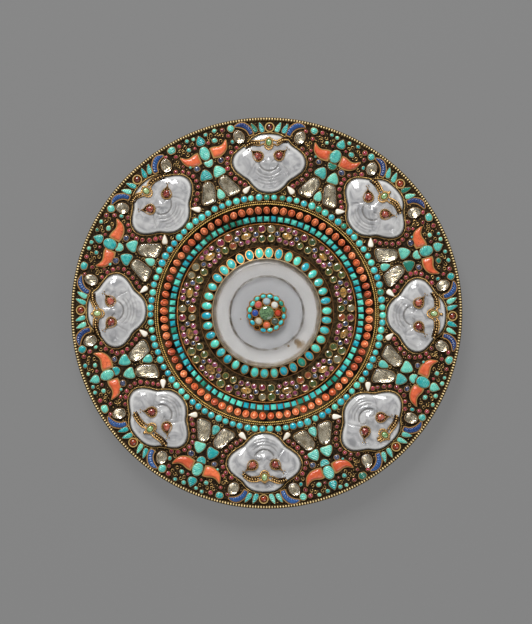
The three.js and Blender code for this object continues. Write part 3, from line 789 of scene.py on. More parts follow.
square_count = 86
square_share = 0.25
square_width = 4.5 * mm
square_length = 5.3 * mm
square_height = 1.1 * mm
square_insets = [(0.25 * mm, 0.25 * mm), (1.6 * mm, 1.3 * mm)]
square = block("square_stone", square_width, square_length, square_height)
select_facing(square, up=1)
bpy.ops.object.mode_set(mode="EDIT")
for thickness, depth in square_insets:
    bpy.ops.mesh.inset(thickness=thickness, depth=depth)
bpy.ops.object.mode_set(mode="OBJECT")
mark_rise(square)
chance = random.Random("squares")
square_places = [
    on_wall(angle, square_share + chance.uniform(-0.012, 0.012), chance.uniform(-0.09, 0.09),
            (chance.uniform(0.86, 1.05), chance.uniform(0.86, 1.02), chance.uniform(0.8, 1.0)))
    for angle in around(square_count)]
turquoise_squares = copies("turquoise_squares", square, square_places)
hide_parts("turquoise_square_row")
fix(turquoise_squares, turquoise_finish)

divider_width = 0.4 * mm
divider_length = 1.05 * square_length
divider_height = 1.3 * mm
divider = block("divider", divider_width, divider_length, divider_height)
bpy.ops.object.mode_set(mode="EDIT")
bpy.ops.mesh.select_all(action="SELECT")
bpy.ops.mesh.bevel(offset=divider_width / 4, segments=1)
bpy.ops.object.mode_set(mode="OBJECT")
mark_rise(divider)
half_step = math.pi / square_count
square_dividers = copies("square_dividers", divider, [
    on_wall(angle, square_share) for angle in around(square_count, half_step)])
divider_gilding = gilt("gilding under red wax", linear(140, 66, 34), linear(44, 14, 8))
fix(square_dividers, divider_gilding)

# Gem band.
# Twelve flowers lie on a gilt plate in the well. Each has a citrine in the middle, three rubies above
# and below it and a sapphire at each side, and four odd gems fill the space between two flowers.
def jewel(name, light, deep, transmission=0.25, roughness=0.08, specks=0.3):
    """A clear cut stone over foil: each has its own tone, and it clouds a little inside."""
    material = finish(name, Roughness=roughness, Transmission_Weight=transmission, IOR=1.76)
    look = placed_effect(
        material, mottle, Pale=light, Deep=deep, Vein=deep, Veining=specks, Cloudiness=0.7,
        Clouds_per_metre=620.0)
    feed(material, Base_Color=look["Color"])
    return material


def many_jewels(name, colours, transmission=0.2, roughness=0.08):
    """Cut stones of several colours in one piece. A stone's tone picks its colour."""
    material = finish(name, Roughness=roughness, Transmission_Weight=transmission, IOR=1.7)
    tone = node(material.node_tree, "Attribute", attribute_name="tone").outputs["Fac"]
    choice = node(material.node_tree, "ValToRGB", {"Fac": tone})
    choice.color_ramp.interpolation = "CONSTANT"
    for place, colour in enumerate(colours):
        stops = choice.color_ramp.elements
        stop = stops[place] if place < len(stops) else stops.new(1)
        stop.position = place / len(colours)
        stop.color = colour
    feed(material, Base_Color=choice.outputs["Color"])
    return material


def on_circle(degrees, radius_pixels, level, size=(1, 1, 1), turn=0.0):
    """A place given in degrees clockwise from +Y and in pixels from the middle."""
    return on_ring(math.radians(degrees), radius_pixels * pixel, level, 0.0, turn, size)


gem_plate_inner = 57.2 * mm
gem_plate_outer = 76.3 * mm
gem_plate_height = 0.9 * mm
gem_plate_rounding = 0.15 * mm
gem_plate_level = floor_level + gem_plate_height
gem_plate = hoop(
    "gem_plate", gem_plate_inner, gem_plate_outer, floor_level, gem_plate_level, gem_plate_rounding)
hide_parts("gem_flower_band")
# The plate shows only between the gems; its dark colour is painted shade there as well as old gilding.
band_gilding = gilt(
    "gilt ground of the gem band", linear(116, 92, 56), linear(15, 10, 6), rub=0.2, grain_per_metre=520.0,
    bump_distance=0.0003)
fix(gem_plate, band_gilding)

flower_count = 12
flower_degrees = [360 / flower_count * (flower + 0.5) for flower in range(flower_count)]
between_degrees = [360 / flower_count * flower for flower in range(flower_count)]
citrine_spots = [(0.0, 80.1, 10.8, 6.6)]
ruby_spots = [
    (0.0, 86.2, 6.1, 5.5), (-4.6, 85.4, 6.0, 5.6), (4.6, 85.4, 6.0, 5.6),
    (0.0, 73.8, 5.9, 5.5), (-5.1, 74.6, 5.8, 5.5), (5.1, 74.6, 5.8, 5.5)]
sapphire_spots = [(-7.3, 80.0, 5.8, 5.9), (7.3, 80.0, 5.8, 5.9)]
between_spots = [
    (-3.3, 84.6, 8.2, 8.6), (3.0, 84.6, 8.6, 8.6), (-3.5, 75.2, 7.6, 8.2), (3.3, 75.2, 7.8, 8.0)]
gem_crown_insets = [(0.16, 0.34), (0.14, 0.14)]
gem_holder_insets = [(0.08, 0.0), (0.2, -0.6)]
gem_height = 1.5 * mm
gem_collet_height = 1.1 * mm
gem_collet_growth = 0.34 * mm


def scattered(spots, middles, level, height, growth, chance, drift=0.35, flat=1.0):
    """Places for stones on a band: each spot is repeated at every middle, a little out of true."""
    places = []
    for middle in middles:
        for degrees, radius, width, length in spots:
            swell = chance.uniform(0.88, 1.08)
            size = (width * pixel * swell + growth, length * pixel * swell + growth, height)
            places.append(on_circle(
                middle + degrees + chance.uniform(-0.5, 0.5) * drift, radius + chance.uniform(-1, 1) * drift,
                level, size, chance.uniform(-0.3, 0.3) * flat))
    return places


def band_gems(name, spots, middles, material, sides):
    """One kind of gem of the band, and the collets that hold it."""
    stone = raised(name + "_pattern", oval(1, 1, sides), 0.5, gem_crown_insets, smooth_degrees=20)
    stones = copies(name, stone, scattered(
        spots, middles, gem_plate_level, gem_height, 0.0, random.Random(name)))
    fix(stones, material)
    holder = raised(name + "_holder", oval(1, 1, 10), 1.0, gem_holder_insets, smooth_degrees=40)
    return copies(name + "_collets", holder, scattered(
        spots, middles, gem_plate_level, gem_collet_height, gem_collet_growth, random.Random(name)))


ruby_finish = jewel("ruby", linear(240, 112, 166), linear(118, 20, 72), transmission=0.65)
citrine_finish = jewel("citrine", linear(246, 184, 84), linear(120, 82, 40), transmission=0.55)
sapphire_finish = jewel("sapphire", linear(136, 154, 200), linear(34, 46, 100), transmission=0.75)
odd_gem_colours = [
    linear(110, 140, 54), linear(212, 64, 112), linear(120, 146, 66), linear(204, 196, 156),
    linear(176, 40, 92), linear(86, 124, 66), linear(236, 112, 60), linear(128, 146, 76)]
odd_gem_finish = many_jewels("odd gems", odd_gem_colours, transmission=0.75)
gem_collets = joined("gem_collets", [
    band_gems("citrines", citrine_spots, flower_degrees, citrine_finish, 10),
    band_gems("flower_rubies", ruby_spots, flower_degrees, ruby_finish, 8),
    band_gems("sapphires", sapphire_spots, flower_degrees, sapphire_finish, 8),
    band_gems("odd_gems", between_spots, between_degrees, odd_gem_finish, 8)])
gem_gilding = gilt("gilding round the gems", linear(158, 126, 76), linear(18, 12, 7), bright_from=0.66)
fix(gem_collets, gem_gilding)

# Oval turquoises.
# Thirty-eight long domed stones on the slope of the boss, each with a groove ground round its crown, in
# collets of strip that lean with the sheet.
oval_count = 38
oval_radius = 60.2 * pixel
oval_width = 7.4 * pixel
oval_length = 10.2 * pixel
oval_height = 2.1 * mm
oval_girdle = 0.5 * mm
oval_collet_height = 1.3 * mm
oval_collet_growth = 1.1 * mm
oval_collet_wall = 0.45 * mm
oval_slope = -math.atan2(boss_level - floor_level, boss_slope_width)
oval_level = boss_level - (oval_radius - boss_radius) * math.tan(-oval_slope)
oval_groove_share = 0.66
oval_groove_width = 0.1
oval_groove_depth = 0.35 * mm
chance = random.Random("ovals")
oval_places = [
    on_ring(angle + chance.uniform(-0.006, 0.006), oval_radius, oval_level, oval_slope,
            size=(chance.uniform(0.9, 1.04), chance.uniform(0.92, 1.04), 1))
    for angle in around(oval_count, 0.04)]
oval_stone = half_ball(
    "oval_stone", oval_width, oval_length, oval_height, segments=16, rings=9, girdle=oval_girdle)
for corner in oval_stone.data.vertices:
    share = 2 * math.hypot(corner.co.x / oval_width, corner.co.y / oval_length)
    groove = math.exp(-((share - oval_groove_share) / oval_groove_width) ** 2)
    corner.co.z -= oval_groove_depth * groove * (corner.co.z > oval_height / 2)
turquoise_ovals = copies("turquoise_ovals", oval_stone, oval_places)
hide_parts("turquoise_oval_row")
fix(turquoise_ovals, turquoise_finish)
oval_collet = collet(
    "oval_collet", oval_width + oval_collet_growth, oval_length + oval_collet_growth, oval_collet_height,
    oval_collet_wall, sides=16)
oval_collets = copies("oval_collets", oval_collet, oval_places)
fix(oval_collets, collet_gilding)

# Crystal disc.
# A turned disc of rock crystal on pale foil, held by a narrow collar. A fine groove runs round it, and
# its edge is cut to a slope that catches the light.
foil_finish = finish("pale foil", Base_Color=linear(245, 245, 247), Roughness=0.5, Metallic=0.25)
disc_low, disc_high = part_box("centre_crystal")
disc_radius = disc_high.x
foil_thickness = 0.25 * mm
foil_inset = 0.2 * mm
disc_foil = hoop("disc_foil", 0, disc_radius - foil_inset, boss_level, boss_level + foil_thickness)
fix(disc_foil, foil_finish)

groove_radius = 36.9 * pixel
groove_width = 1.1 * mm
groove_depth = 0.5 * mm
disc_edge_level = 15.5 * mm
disc_slope_shares = (0.965, 0.93)
disc_slope_drop = 0.55 * mm
disc_rounding = 0.12 * mm
disc_profile = [
    (0, disc_low.z), (disc_radius, disc_low.z), (disc_radius, disc_edge_level),
    (disc_radius * disc_slope_shares[0], disc_high.z - disc_slope_drop),
    (disc_radius * disc_slope_shares[1], disc_high.z),
    (groove_radius + groove_width / 2, disc_high.z), (groove_radius, disc_high.z - groove_depth),
    (groove_radius - groove_width / 2, disc_high.z), (0, disc_high.z)]
disc = turned("crystal_disc", disc_profile, disc_rounding)
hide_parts("centre_crystal")

# The crystal is clear, with brown dirt in its groove and on its sloping edge, and three stained flaws.
crystal_brown = linear(186, 172, 152)
groove_brown = linear(112, 96, 76)
flaw_brown = linear(206, 186, 158)
groove_dirt_width = (0.7 * mm, 1.15 * mm)
edge_dirt_reach = (41.7 * mm, 42.4 * mm)
disc_flaws_px = [((33, -31), 8.0), ((-26, -6), 1.4), ((22, -33), 2.6)]
disc_finish = finish("crystal of the disc", Roughness=0.03, Transmission_Weight=1.0, IOR=1.54)
disc_tree = disc_finish.node_tree
disc_flat = node(disc_tree, "VectorMath", {
    0: node(disc_tree, "TexCoord").outputs["Object"], 1: (1, 1, 0)}, operation="MULTIPLY").outputs["Vector"]
disc_reach = node(disc_tree, "VectorMath", {0: disc_flat}, operation="LENGTH").outputs["Value"]
disc_clouds = clouds(disc_tree, disc_flat, 160.0, 3.0)
groove_away = reckoned(disc_tree, "ABSOLUTE", reckoned(disc_tree, "SUBTRACT", disc_reach, groove_radius))
groove_dirt = mapped(disc_tree, groove_away, *groove_dirt_width, 1.0, 0.0)
edge_dirt = mapped(disc_tree, disc_reach, *edge_dirt_reach)
disc_dirt = reckoned(disc_tree, "MAXIMUM", groove_dirt, edge_dirt)
disc_patches = mapped(disc_tree, disc_clouds, 0.3, 0.6, 0.35, 1.0)
disc_dirt_share = reckoned(disc_tree, "MULTIPLY", disc_dirt, disc_patches)
disc_inside = reckoned(disc_tree, "LESS_THAN", disc_reach, groove_radius)
disc_clear = blend(disc_tree, disc_inside, linear(250, 249, 247), linear(239, 239, 239))
disc_brown = blend(disc_tree, edge_dirt, groove_brown, crystal_brown)
disc_shown = blend(disc_tree, disc_dirt_share, disc_clear, disc_brown)
for (flaw_x, flaw_y), flaw_reach in disc_flaws_px:
    flaw_away = node(disc_tree, "VectorMath", {
        0: disc_flat, 1: (flaw_x * pixel, flaw_y * pixel, 0)}, operation="DISTANCE").outputs["Value"]
    flaw_patch = mapped(disc_tree, flaw_away, 0.0, flaw_reach * pixel, 0.75, 0.0)
    flaw_share = mapped(disc_tree, reckoned(disc_tree, "ADD", flaw_patch, disc_clouds), 0.75, 0.95)
    disc_shown = blend(disc_tree, flaw_share, disc_shown, flaw_brown)
feed(disc_finish, Base_Color=disc_shown, Roughness=mapped(disc_tree, disc_dirt, 0.0, 1.0, 0.03, 0.4))
fix(disc, disc_finish)

collar_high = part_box("centre_collar")[1]
disc_collar_room = 0.2 * mm
disc_collar_slope = 0.3 * mm
disc_collar_rounding = 0.2 * mm
disc_collar_inner = disc_radius + disc_collar_room
disc_collar = turned("disc_collar", [
    (disc_collar_inner, boss_level), (disc_collar_inner, collar_high.z),
    (collar_high.x - disc_collar_slope, collar_high.z), (collar_high.x, boss_level)], disc_collar_rounding)
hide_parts("centre_collar")
disc_collar_gilding = gilt("pale gilding of the collar", linear(196, 176, 140), linear(60, 48, 32), rub=0.62)
fix(disc_collar, disc_collar_gilding)

# Medallion.
# A scalloped gilt mount on the disc: a green stone in the middle, eight different gems round it, and
# sixteen small turquoises round those. One turquoise is lost, and its cell is empty.
medal_low, medal_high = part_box("centre_medallion")
medal_radius = medal_high.x
medal_lobes = 16
medal_steps_per_lobe = 6
medal_lobe_share = 0.035
medal_plate_height = 0.9 * mm
medal_floor_height = 0.35 * mm
medal_lobe_reach = [
    medal_radius * (1 - medal_lobe_share - medal_lobe_share * math.cos(medal_lobes * angle))
    for angle in around(medal_lobes * medal_steps_per_lobe)]
medal_outline = [
    (reach * math.sin(angle), reach * math.cos(angle))
    for reach, angle in zip(medal_lobe_reach, around(medal_lobes * medal_steps_per_lobe))]
medal_lip = 0.35 * mm
medal_insets = [
    (medal_lip, medal_lip), (0.3 * mm, 0.0), (0.15 * mm, medal_floor_height - medal_plate_height - medal_lip)]
medal_mount = raised("medallion_mount", medal_outline, medal_plate_height, medal_insets, smooth_degrees=40)
medal_mount.data.transform(Matrix.Translation((0, 0, medal_low.z)))
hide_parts("centre_medallion")
medal_level = medal_low.z + medal_floor_height
small_cell_spots = [(360 / medal_lobes * (lobe + 0.5), 17.3, 6.0, 4.2) for lobe in range(medal_lobes)]
lost_stone = 9
small_turquoise_spots = small_cell_spots[:lost_stone] + small_cell_spots[lost_stone + 1:]
medal_gem_count = 8
medal_gem_spots = [(360 / medal_gem_count * gem, 11.6, 7.8, 7.4) for gem in range(medal_gem_count)]
medal_centre_spots = [(0.0, 0.0, 14.4, 14.4)]
medal_stone_height = 2.3 * mm
medal_cell_height = 0.6 * medal_stone_height
medal_cell_growth = 0.7 * mm
medal_gem_insets = [(0.1, 0.3), (0.15, 0.2)]
medal_cell_insets = [(0.06, 0.0), (0.02, -0.5)]


def on_medallion(spots, seed, height=medal_stone_height, growth=0.0, drift=0.35, flat=1.0):
    """Places for stones of the medallion."""
    return scattered(spots, [0.0], medal_level, height, growth, random.Random(seed), drift, flat)


small_turquoise = half_ball("small_turquoise", 1, 1, 0.5, segments=12, rings=3, girdle=0.5)
small_turquoises = copies(
    "medallion_turquoises", small_turquoise, on_medallion(small_turquoise_spots, "medallion", flat=0.4))
fix(small_turquoises, turquoise_finish)
medal_gem_colours = [
    linear(170, 190, 196), linear(222, 222, 214), linear(190, 66, 34), linear(70, 84, 74),
    linear(226, 112, 72), linear(196, 186, 164), linear(40, 76, 160), linear(206, 92, 84)]
medal_gem = raised("medal_gem", oval(1, 1, 10), 0.5, medal_gem_insets, smooth_degrees=20)
medal_gems = copies(
    "medallion_gems", medal_gem, on_medallion(medal_gem_spots, "gems", flat=0.2),
    tones=[(gem + 0.5) / medal_gem_count for gem in range(medal_gem_count)])
fix(medal_gems, many_jewels("medallion gems", medal_gem_colours))
green_stone = half_ball("green_stone", 1, 1, 0.55, segments=24, rings=6, girdle=0.45)
medal_centre = copies("medallion_centre", green_stone, on_medallion(
    medal_centre_spots, "centre", medal_high.z - medal_level, drift=0.0))
green_finish = jewel("green stone", linear(140, 184, 128), linear(70, 112, 76), transmission=0.55)
fix(medal_centre, green_finish)
medal_parts = []
for label, spots in (
        ("turquoise", small_cell_spots), ("gem", medal_gem_spots), ("centre", medal_centre_spots)):
    holder = raised("medal_holder", oval(1, 1, 16), 1.0, medal_cell_insets, smooth_degrees=40)
    medal_parts.append(copies(label + "_cells", holder, on_medallion(
        spots, label, medal_cell_height, medal_cell_growth, drift=0.0)))
medal_cells = joined("medallion_cells", medal_parts)
medallion_gilding = gilt(
    "medallion gilding", linear(216, 152, 76), linear(26, 14, 8), grain_per_metre=900.0, bright_from=0.68)
fix(medal_mount, medallion_gilding)
fix(medal_cells, medallion_gilding)


# Mask crystals.
# Eight faces of a fierce guardian, carved in rock crystal and polished: broad cheeks, a flat nose and a
# wide folded mouth. Pale veils run through the crystal. A bright band is painted just inside its edge,
# as light, a dark band at the very edge, as shadow, and its carved lines are painted darker, for shade
# and grime.
mask_count = 8
sector_degrees = 360 / mask_count
first_mask_degrees = 0.9
mask_degrees = [first_mask_degrees + sector_degrees * mask for mask in range(mask_count)]
figure_degrees = [degrees + sector_degrees / 2 for degrees in mask_degrees]
mask_half_outline_px = [
    (0, 179.2), (10, 178), (17, 174), (22, 168.2), (30, 162.4), (35, 157), (36.7, 150), (34, 143.2),
    (28, 137.8), (20.6, 133), (15.4, 127), (9, 122.2), (0, 120.4)]
mask_middle_px = (0, 149)

# No two faces are quite alike. In each one's own sector: how far its mouth lies above the usual place, its
# eyes, the diadem's stone and knob, and the diadem's two arms.
faces = [
    {"mouth_lift": 3.7, "eyes": [(-11, 156.5), (10, 157.5)], "stone": (-0.5, 170.3), "knob": (-0.5, 174.6),
     "arms": [[(-24, 166), (-17.5, 169.6), (-10, 169.6)], [(8, 170), (13.5, 173), (18.5, 173.4)]]},
    {"mouth_lift": -0.8, "eyes": [(-12.5, 153.5), (11.5, 153.5)], "stone": (-2, 165.5), "knob": (-1.2, 171.8),
     "arms": [[(-23.5, 168), (-16, 168.6), (-9, 166.8)], [(5.4, 167), (12, 168.4), (21, 165.6)]]},
    {"mouth_lift": -1.3, "eyes": [(-12.5, 151.5), (11, 152)], "stone": (-2, 167), "knob": (-1.6, 174.4),
     "arms": [[(-23, 165.6), (-16.4, 169.4), (-9, 170)], [(5, 169.6), (12, 170), (22, 167.6)]]},
    {"mouth_lift": -1.3, "eyes": [(-9.5, 154), (11.5, 153)], "stone": (0, 169.5), "knob": (0, 175),
     "arms": [[(-22, 164.4), (-16, 168), (-8, 169.2)], [(5, 169.4), (6.6, 169.2), (8.4, 168.8)]]},
    {"mouth_lift": -1.8, "eyes": [(-11, 151), (11.5, 152)], "stone": (-0.5, 164), "knob": (-1, 168.4),
     "arms": [[(-22, 166.4), (-15, 167.6), (-8.4, 165.4)], [(6, 165.6), (14, 165.8), (21, 161.4)]]},
    {"mouth_lift": -2.3, "eyes": [(-12, 150.5), (9, 151)], "stone": (-2.2, 164), "knob": (-0.8, 170.4),
     "arms": [[(-25, 164.4), (-17, 163.6), (-9.4, 164.8)], [(5, 166), (12, 166), (20.5, 164.2)]]},
    {"mouth_lift": 4.7, "eyes": [(-11.5, 155), (9.5, 156)], "stone": (-3, 169), "knob": (-3.6, 174.2),
     "arms": [[(-24, 168), (-16.6, 170.6), (-9.6, 170.4)], [(4.4, 171), (10, 173.8), (17.4, 174.2)]]},
    {"mouth_lift": 2.7, "eyes": [(-11.5, 155.5), (11, 155)], "stone": (-1.5, 171.2), "knob": (-0.8, 176),
     "arms": [[(-19, 173.4), (-13, 174.4), (-7.6, 172.4)], [(5, 173.4), (12, 173.8), (21.5, 170)]]}]


def mirrored(half):
    """A closed outline from its right half, which starts and ends on the axis."""
    return list(half) + [(-across, up) for across, up in reversed(half[1:-1])]


def smooth_outline(corners, steps):
    """A smooth closed curve through these corners, with so many points from each to the next."""
    corners = np.asarray(corners, float)
    before, after, beyond = (np.roll(corners, shift, axis=0) for shift in (1, -1, -2))
    curve = []
    for step in range(steps):
        t = step / steps
        curve.append(0.5 * (
            2 * corners + (after - before) * t + (2 * before - 5 * corners + 4 * after - beyond) * t ** 2
            + (3 * corners - before - 3 * after + beyond) * t ** 3))
    return np.stack(curve, axis=1).reshape(-1, 2)


def grown(outline, distance):
    """An outline moved outwards. A negative distance moves it inwards."""
    outline = np.asarray(outline, float)
    along = np.roll(outline, -1, axis=0) - np.roll(outline, 1, axis=0)
    outward = np.stack([along[:, 1], -along[:, 0]], axis=1) / np.linalg.norm(along, axis=1, keepdims=True)
    area = np.sum(outline[:, 0] * np.roll(outline[:, 1], -1) - outline[:, 1] * np.roll(outline[:, 0], -1))
    return outline + math.copysign(distance, area) * outward


mask_outline = smooth_outline(mirrored(mask_half_outline_px), 6) * pixel
mask_middle = np.array(mask_middle_px) * pixel
outline_angles = np.arctan2(mask_outline[:, 0] - mask_middle[0], mask_outline[:, 1] - mask_middle[1])
outline_reaches = np.hypot(mask_outline[:, 0] - mask_middle[0], mask_outline[:, 1] - mask_middle[1])
mask_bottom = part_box("mask_crystal_1")[0].z
mask_edge_height = 3.0 * mm
cup_share = 0.86
cup_height = 1.4 * mm
cup_width = 3.4 * mm
mask_crown = 3.9 * mm
# Each bump of the face: its spot and its reach in pixels, and its rise in millimetres.
carving_bumps = [
    ((0, 147), (4.6, 4.4), 2.0), ((0, 156), (3.0, 7), 1.0), ((24, 150), (8.5, 9), 1.7),
    ((-24, 150), (8.5, 9), 1.7), ((6.5, 146.4), (2.8, 2.2), 0.6), ((-6.5, 146.4), (2.8, 2.2), 0.6),
    ((0, 134.6), (6, 2), 0.5)]


def fold(middle, reach, half_degrees, steps=9):
    """An arc in pixels that is open towards the brow."""
    turns = np.radians(np.linspace(-half_degrees, half_degrees, steps))
    return [(middle[0] + reach * math.sin(turn), middle[1] - reach * math.cos(turn)) for turn in turns]


def both_hands(path):
    """A path and its mirror image."""
    return [path, [(-x, y) for x, y in path]]


mouth_middle_px = (0, 148.4)
carving_lines = [
    {"path": fold(mouth_middle_px, 10.2, 64), "width": 0.7, "depth": 0.75, "line_shade_and_grime": 0.8},
    {"path": fold(mouth_middle_px, 12.0, 50), "width": 0.9, "depth": -0.4, "line_shade_and_grime": 0.0}]
carving_lines += [
    {"path": fold(mouth_middle_px, reach, half_degrees), "width": 0.55, "depth": depth, "line_shade_and_grime": line_shade_and_grime}
    for reach, half_degrees, depth, line_shade_and_grime in (
        (14.8, 52, 0.4, 0.5), (17.8, 46, 0.34, 0.4), (20.6, 30, 0.34, 0.4), (23.8, 36, 0.28, 0.3))]
carving_lines += [
    {"path": path, "width": 0.7, "depth": depth, "line_shade_and_grime": line_shade_and_grime}
    for half_path, depth, line_shade_and_grime in (
        ([(3, 147.4), (6, 149.6), (9.4, 147.2), (9.6, 144.6)], 0.4, 0.4),
        ([(9.4, 150.4), (13, 146.4), (16.6, 141), (19.6, 134.6)], 0.5, 0.25))
    for path in both_hands(half_path)]
carving_depth_share = 1.3


def distance_to_path(x, y, path):
    """How far each point lies from a path of straight pieces, all in pixels."""
    nearest = np.full(x.shape, np.inf)
    for (ax, ay), (bx, by) in zip(path, path[1:]):
        dx, dy = bx - ax, by - ay
        share = np.clip(((x - ax) * dx + (y - ay) * dy) / (dx * dx + dy * dy), 0, 1)
        nearest = np.minimum(nearest, np.hypot(x - ax - share * dx, y - ay - share * dy))
    return nearest


def outline_share(x, y):
    """How far a place lies from the middle of a mask, from 0 there to 1 at its edge."""
    angle = np.arctan2(x - mask_middle[0], y - mask_middle[1])
    reach = np.interp(angle, outline_angles, outline_reaches, period=2 * math.pi)
    return np.clip(np.hypot(x - mask_middle[0], y - mask_middle[1]) / reach, 0, 1)


def crystal_top(x, y, mouth_lift=0.0):
    """The level of the carved face at a place in its own sector, in metres."""
    x, y = np.asarray(x, float), np.asarray(y, float)
    share = outline_share(x, y)
    top = mask_bottom + mask_edge_height + mask_crown * np.sqrt(1 - share ** 2.6)
    px, py = x / pixel, y / pixel - mouth_lift
    inner = np.clip((1 - share) / 0.15, 0, 1)
    for (spot_x, spot_y), (reach_x, reach_y), rise in carving_bumps:
        hump = np.exp(-((px - spot_x) / reach_x) ** 2 - ((py - spot_y) / reach_y) ** 2)
        top = top + rise * mm * inner * hump
    for line in carving_lines:
        away = distance_to_path(px, py, line["path"]) / line["width"]
        top = top - carving_depth_share * line["depth"] * mm * inner * np.exp(-away ** 2)
    return top


def carved_share(x, y, mouth_lift):
    """How dark a place is painted in a carved line, from 0 to 1, for shade and grime there."""
    px, py = np.asarray(x, float) / pixel, np.asarray(y, float) / pixel - mouth_lift
    return np.max([
        line["line_shade_and_grime"] * np.exp(-(distance_to_path(px, py, line["path"]) / line["width"]) ** 2)
        for line in carving_lines], axis=0)


crystal_shares = np.concatenate([np.linspace(0, 0.9, 46), 1 - 0.1 * np.linspace(0.9, 0, 10) ** 2])


def carved_mask(name, mouth_lift):
    """The carved crystal at the top of the dish: rings of points from its back round to its face."""
    rings = []
    for share, level in ((0, mask_bottom), (cup_share, mask_bottom), (1, mask_bottom + cup_height)):
        spread = mask_middle + (mask_outline - mask_middle) * share
        rings.append(np.column_stack([spread, np.full(len(spread), level)]))
    for share in crystal_shares[::-1]:
        spread = mask_middle + (mask_outline - mask_middle) * share
        rings.append(np.column_stack([spread, crystal_top(spread[:, 0], spread[:, 1], mouth_lift)]))
    pattern = rolled(name, rings, smooth_degrees=60)
    spots = np.array([corner.co for corner in pattern.data.vertices])
    on_top = spots[:, 2] > mask_bottom + mask_edge_height
    note(pattern.data, "carved", carved_share(spots[:, 0], spots[:, 1], mouth_lift) * on_top)
    note(pattern.data, "outline share", outline_share(spots[:, 0], spots[:, 1]))
    return pattern


def clockwise(degrees):
    """A turn about the dish's axis."""
    return Matrix.Rotation(-math.radians(degrees), 4, "Z")


mask_finish = finish("carved crystal", Transmission_Weight=0.45, IOR=1.54, Specular_IOR_Level=0.3)
mask_tree = mask_finish.node_tree
mask_carved = node(mask_tree, "Attribute", attribute_name="carved").outputs["Fac"]
mask_edge = node(mask_tree, "Attribute", attribute_name="outline share").outputs["Fac"]
mask_place = node(mask_tree, "TexCoord").outputs["Object"]
mask_veils = mapped(mask_tree, clouds(mask_tree, mask_place, 90.0, 5.0, Distortion=1.6), 0.35, 0.65)
mask_colour = blend(mask_tree, mask_veils, linear(174, 174, 176), linear(232, 231, 230))
# Painted light and shade: a bright band inside the crystal's edge, a dark band at the very edge, darker
# lines.
mask_layers = {
    "painted bright edge": (mapped(mask_tree, mask_edge, 0.84, 0.91, 0.0, 0.8), linear(250, 250, 248)),
    "painted shadow at the edge": (mapped(mask_tree, mask_edge, 0.94, 0.98, 0.0, 0.9), linear(84, 76, 64)),
    "painted shade and grime in the lines": (mask_carved, linear(126, 122, 115))}
for layer_share, layer_colour in mask_layers.values():
    mask_colour = blend(mask_tree, layer_share, mask_colour, layer_colour)
feed(mask_finish, Base_Color=mask_colour, Roughness=mapped(mask_tree, mask_carved, 0.0, 1.0, 0.03, 0.35))
for number, (degrees, face) in enumerate(zip(mask_degrees, faces), 1):
    crystal = carved_mask(f"carved_mask_{number}", face["mouth_lift"])
    crystal.data.transform(clockwise(degrees))
    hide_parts(f"mask_crystal_{number}")
    fix(crystal, mask_finish)

# Each crystal lies in a shallow cup of the pale foil, which makes it bright.
mask_foil_inset = 0.1 * mm
mask_foil = raised(
    "mask_foil_pattern", grown(mask_outline, -mask_foil_inset), cup_height + foil_thickness,
    [(cup_width, -cup_height)], 40)
mask_foil.data.transform(Matrix.Translation((0, 0, flange_level)))
mask_foils = copies("mask_foils", mask_foil, [clockwise(degrees) for degrees in mask_degrees])
fix(mask_foils, foil_finish)


# Mask collars.
# A strip of gilt sheet stands close round each crystal, with a twisted wire soldered outside it. Above
# the forehead a garnet sits in a round collet of its own.
def ring_strip(name, outline, low, high, thickness):
    """An upright strip round a closed outline, rounded on top."""
    outer = grown(outline, thickness)
    round_share = 0.3
    section = [
        (outline, low), (outline, high - round_share * thickness),
        (grown(outline, round_share * thickness), high),
        (grown(outline, (1 - round_share) * thickness), high),
        (outer, high - round_share * thickness), (outer, low)]
    rounds = np.stack([np.column_stack([edge, np.full(len(edge), level)]) for edge, level in section], axis=1)
    return mark_rise(rolled(name, rounds, looped=True, smooth_degrees=50))


def evenly_bright(piece, share):
    """Notes the same rise for all of a piece, so that its gilding is equally bright all over."""
    piece.data.attributes["rise"].data.foreach_set("value", [share] * len(piece.data.vertices))
    return piece


def sector_copies(name, pattern, degrees):
    """One copy of a piece for each sector, numbered from 1."""
    pieces = []
    for number, turn in enumerate(degrees, 1):
        pieces.append(copies(f"{name}_{number}", pattern.copy(), [clockwise(turn)]))
    bpy.data.objects.remove(pattern)
    return pieces


collar_gap = 0.3 * mm
collar_thickness = 0.35 * mm
collar_height = 2.4 * mm
collar_strip_rise = 0.55
mask_rope_width = 1.05 * mm
mask_rope_lay = 2.4 * mm
mask_rope_lift = 1.3 * mm
garnet_px = (0, 186)
garnet_width = 6.2 * pixel
garnet_height = 1.6 * mm
garnet_collet_width = 9.6 * pixel
garnet_collet_height = 2.2 * mm
garnet_collet_wall = 0.8 * mm
garnet_place = Matrix.Translation((garnet_px[0] * pixel, garnet_px[1] * pixel, mask_bottom))
garnet_collet = collet(
    "garnet_collet", garnet_collet_width, garnet_collet_width, garnet_collet_height, garnet_collet_wall,
    sides=20)
garnet_collet.data.transform(garnet_place)
collar_strip = ring_strip(
    "collar_strip", grown(mask_outline, collar_gap), flange_level, mask_bottom + collar_height,
    collar_thickness)
mask_rope_line = grown(mask_outline, collar_gap + collar_thickness + mask_rope_width / 2)
mask_rope_path = np.column_stack([mask_rope_line, np.full(len(mask_rope_line), mask_bottom + mask_rope_lift)])
mask_collar = joined("mask_collar_pattern", [
    evenly_bright(collar_strip, collar_strip_rise),
    rope("mask_rope", mask_rope_path, mask_rope_width, mask_rope_lay),
    garnet_collet])
collar_gilding = gilt("collar gilding", linear(236, 194, 122), linear(26, 17, 10))
for number, mount in enumerate(sector_copies("collar", mask_collar, mask_degrees), 1):
    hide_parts(f"mask_collar_{number}")
    fix(mount, collar_gilding)
garnet = half_ball(
    "garnet", garnet_width, garnet_width, garnet_height, segments=16, rings=5, girdle=garnet_height)
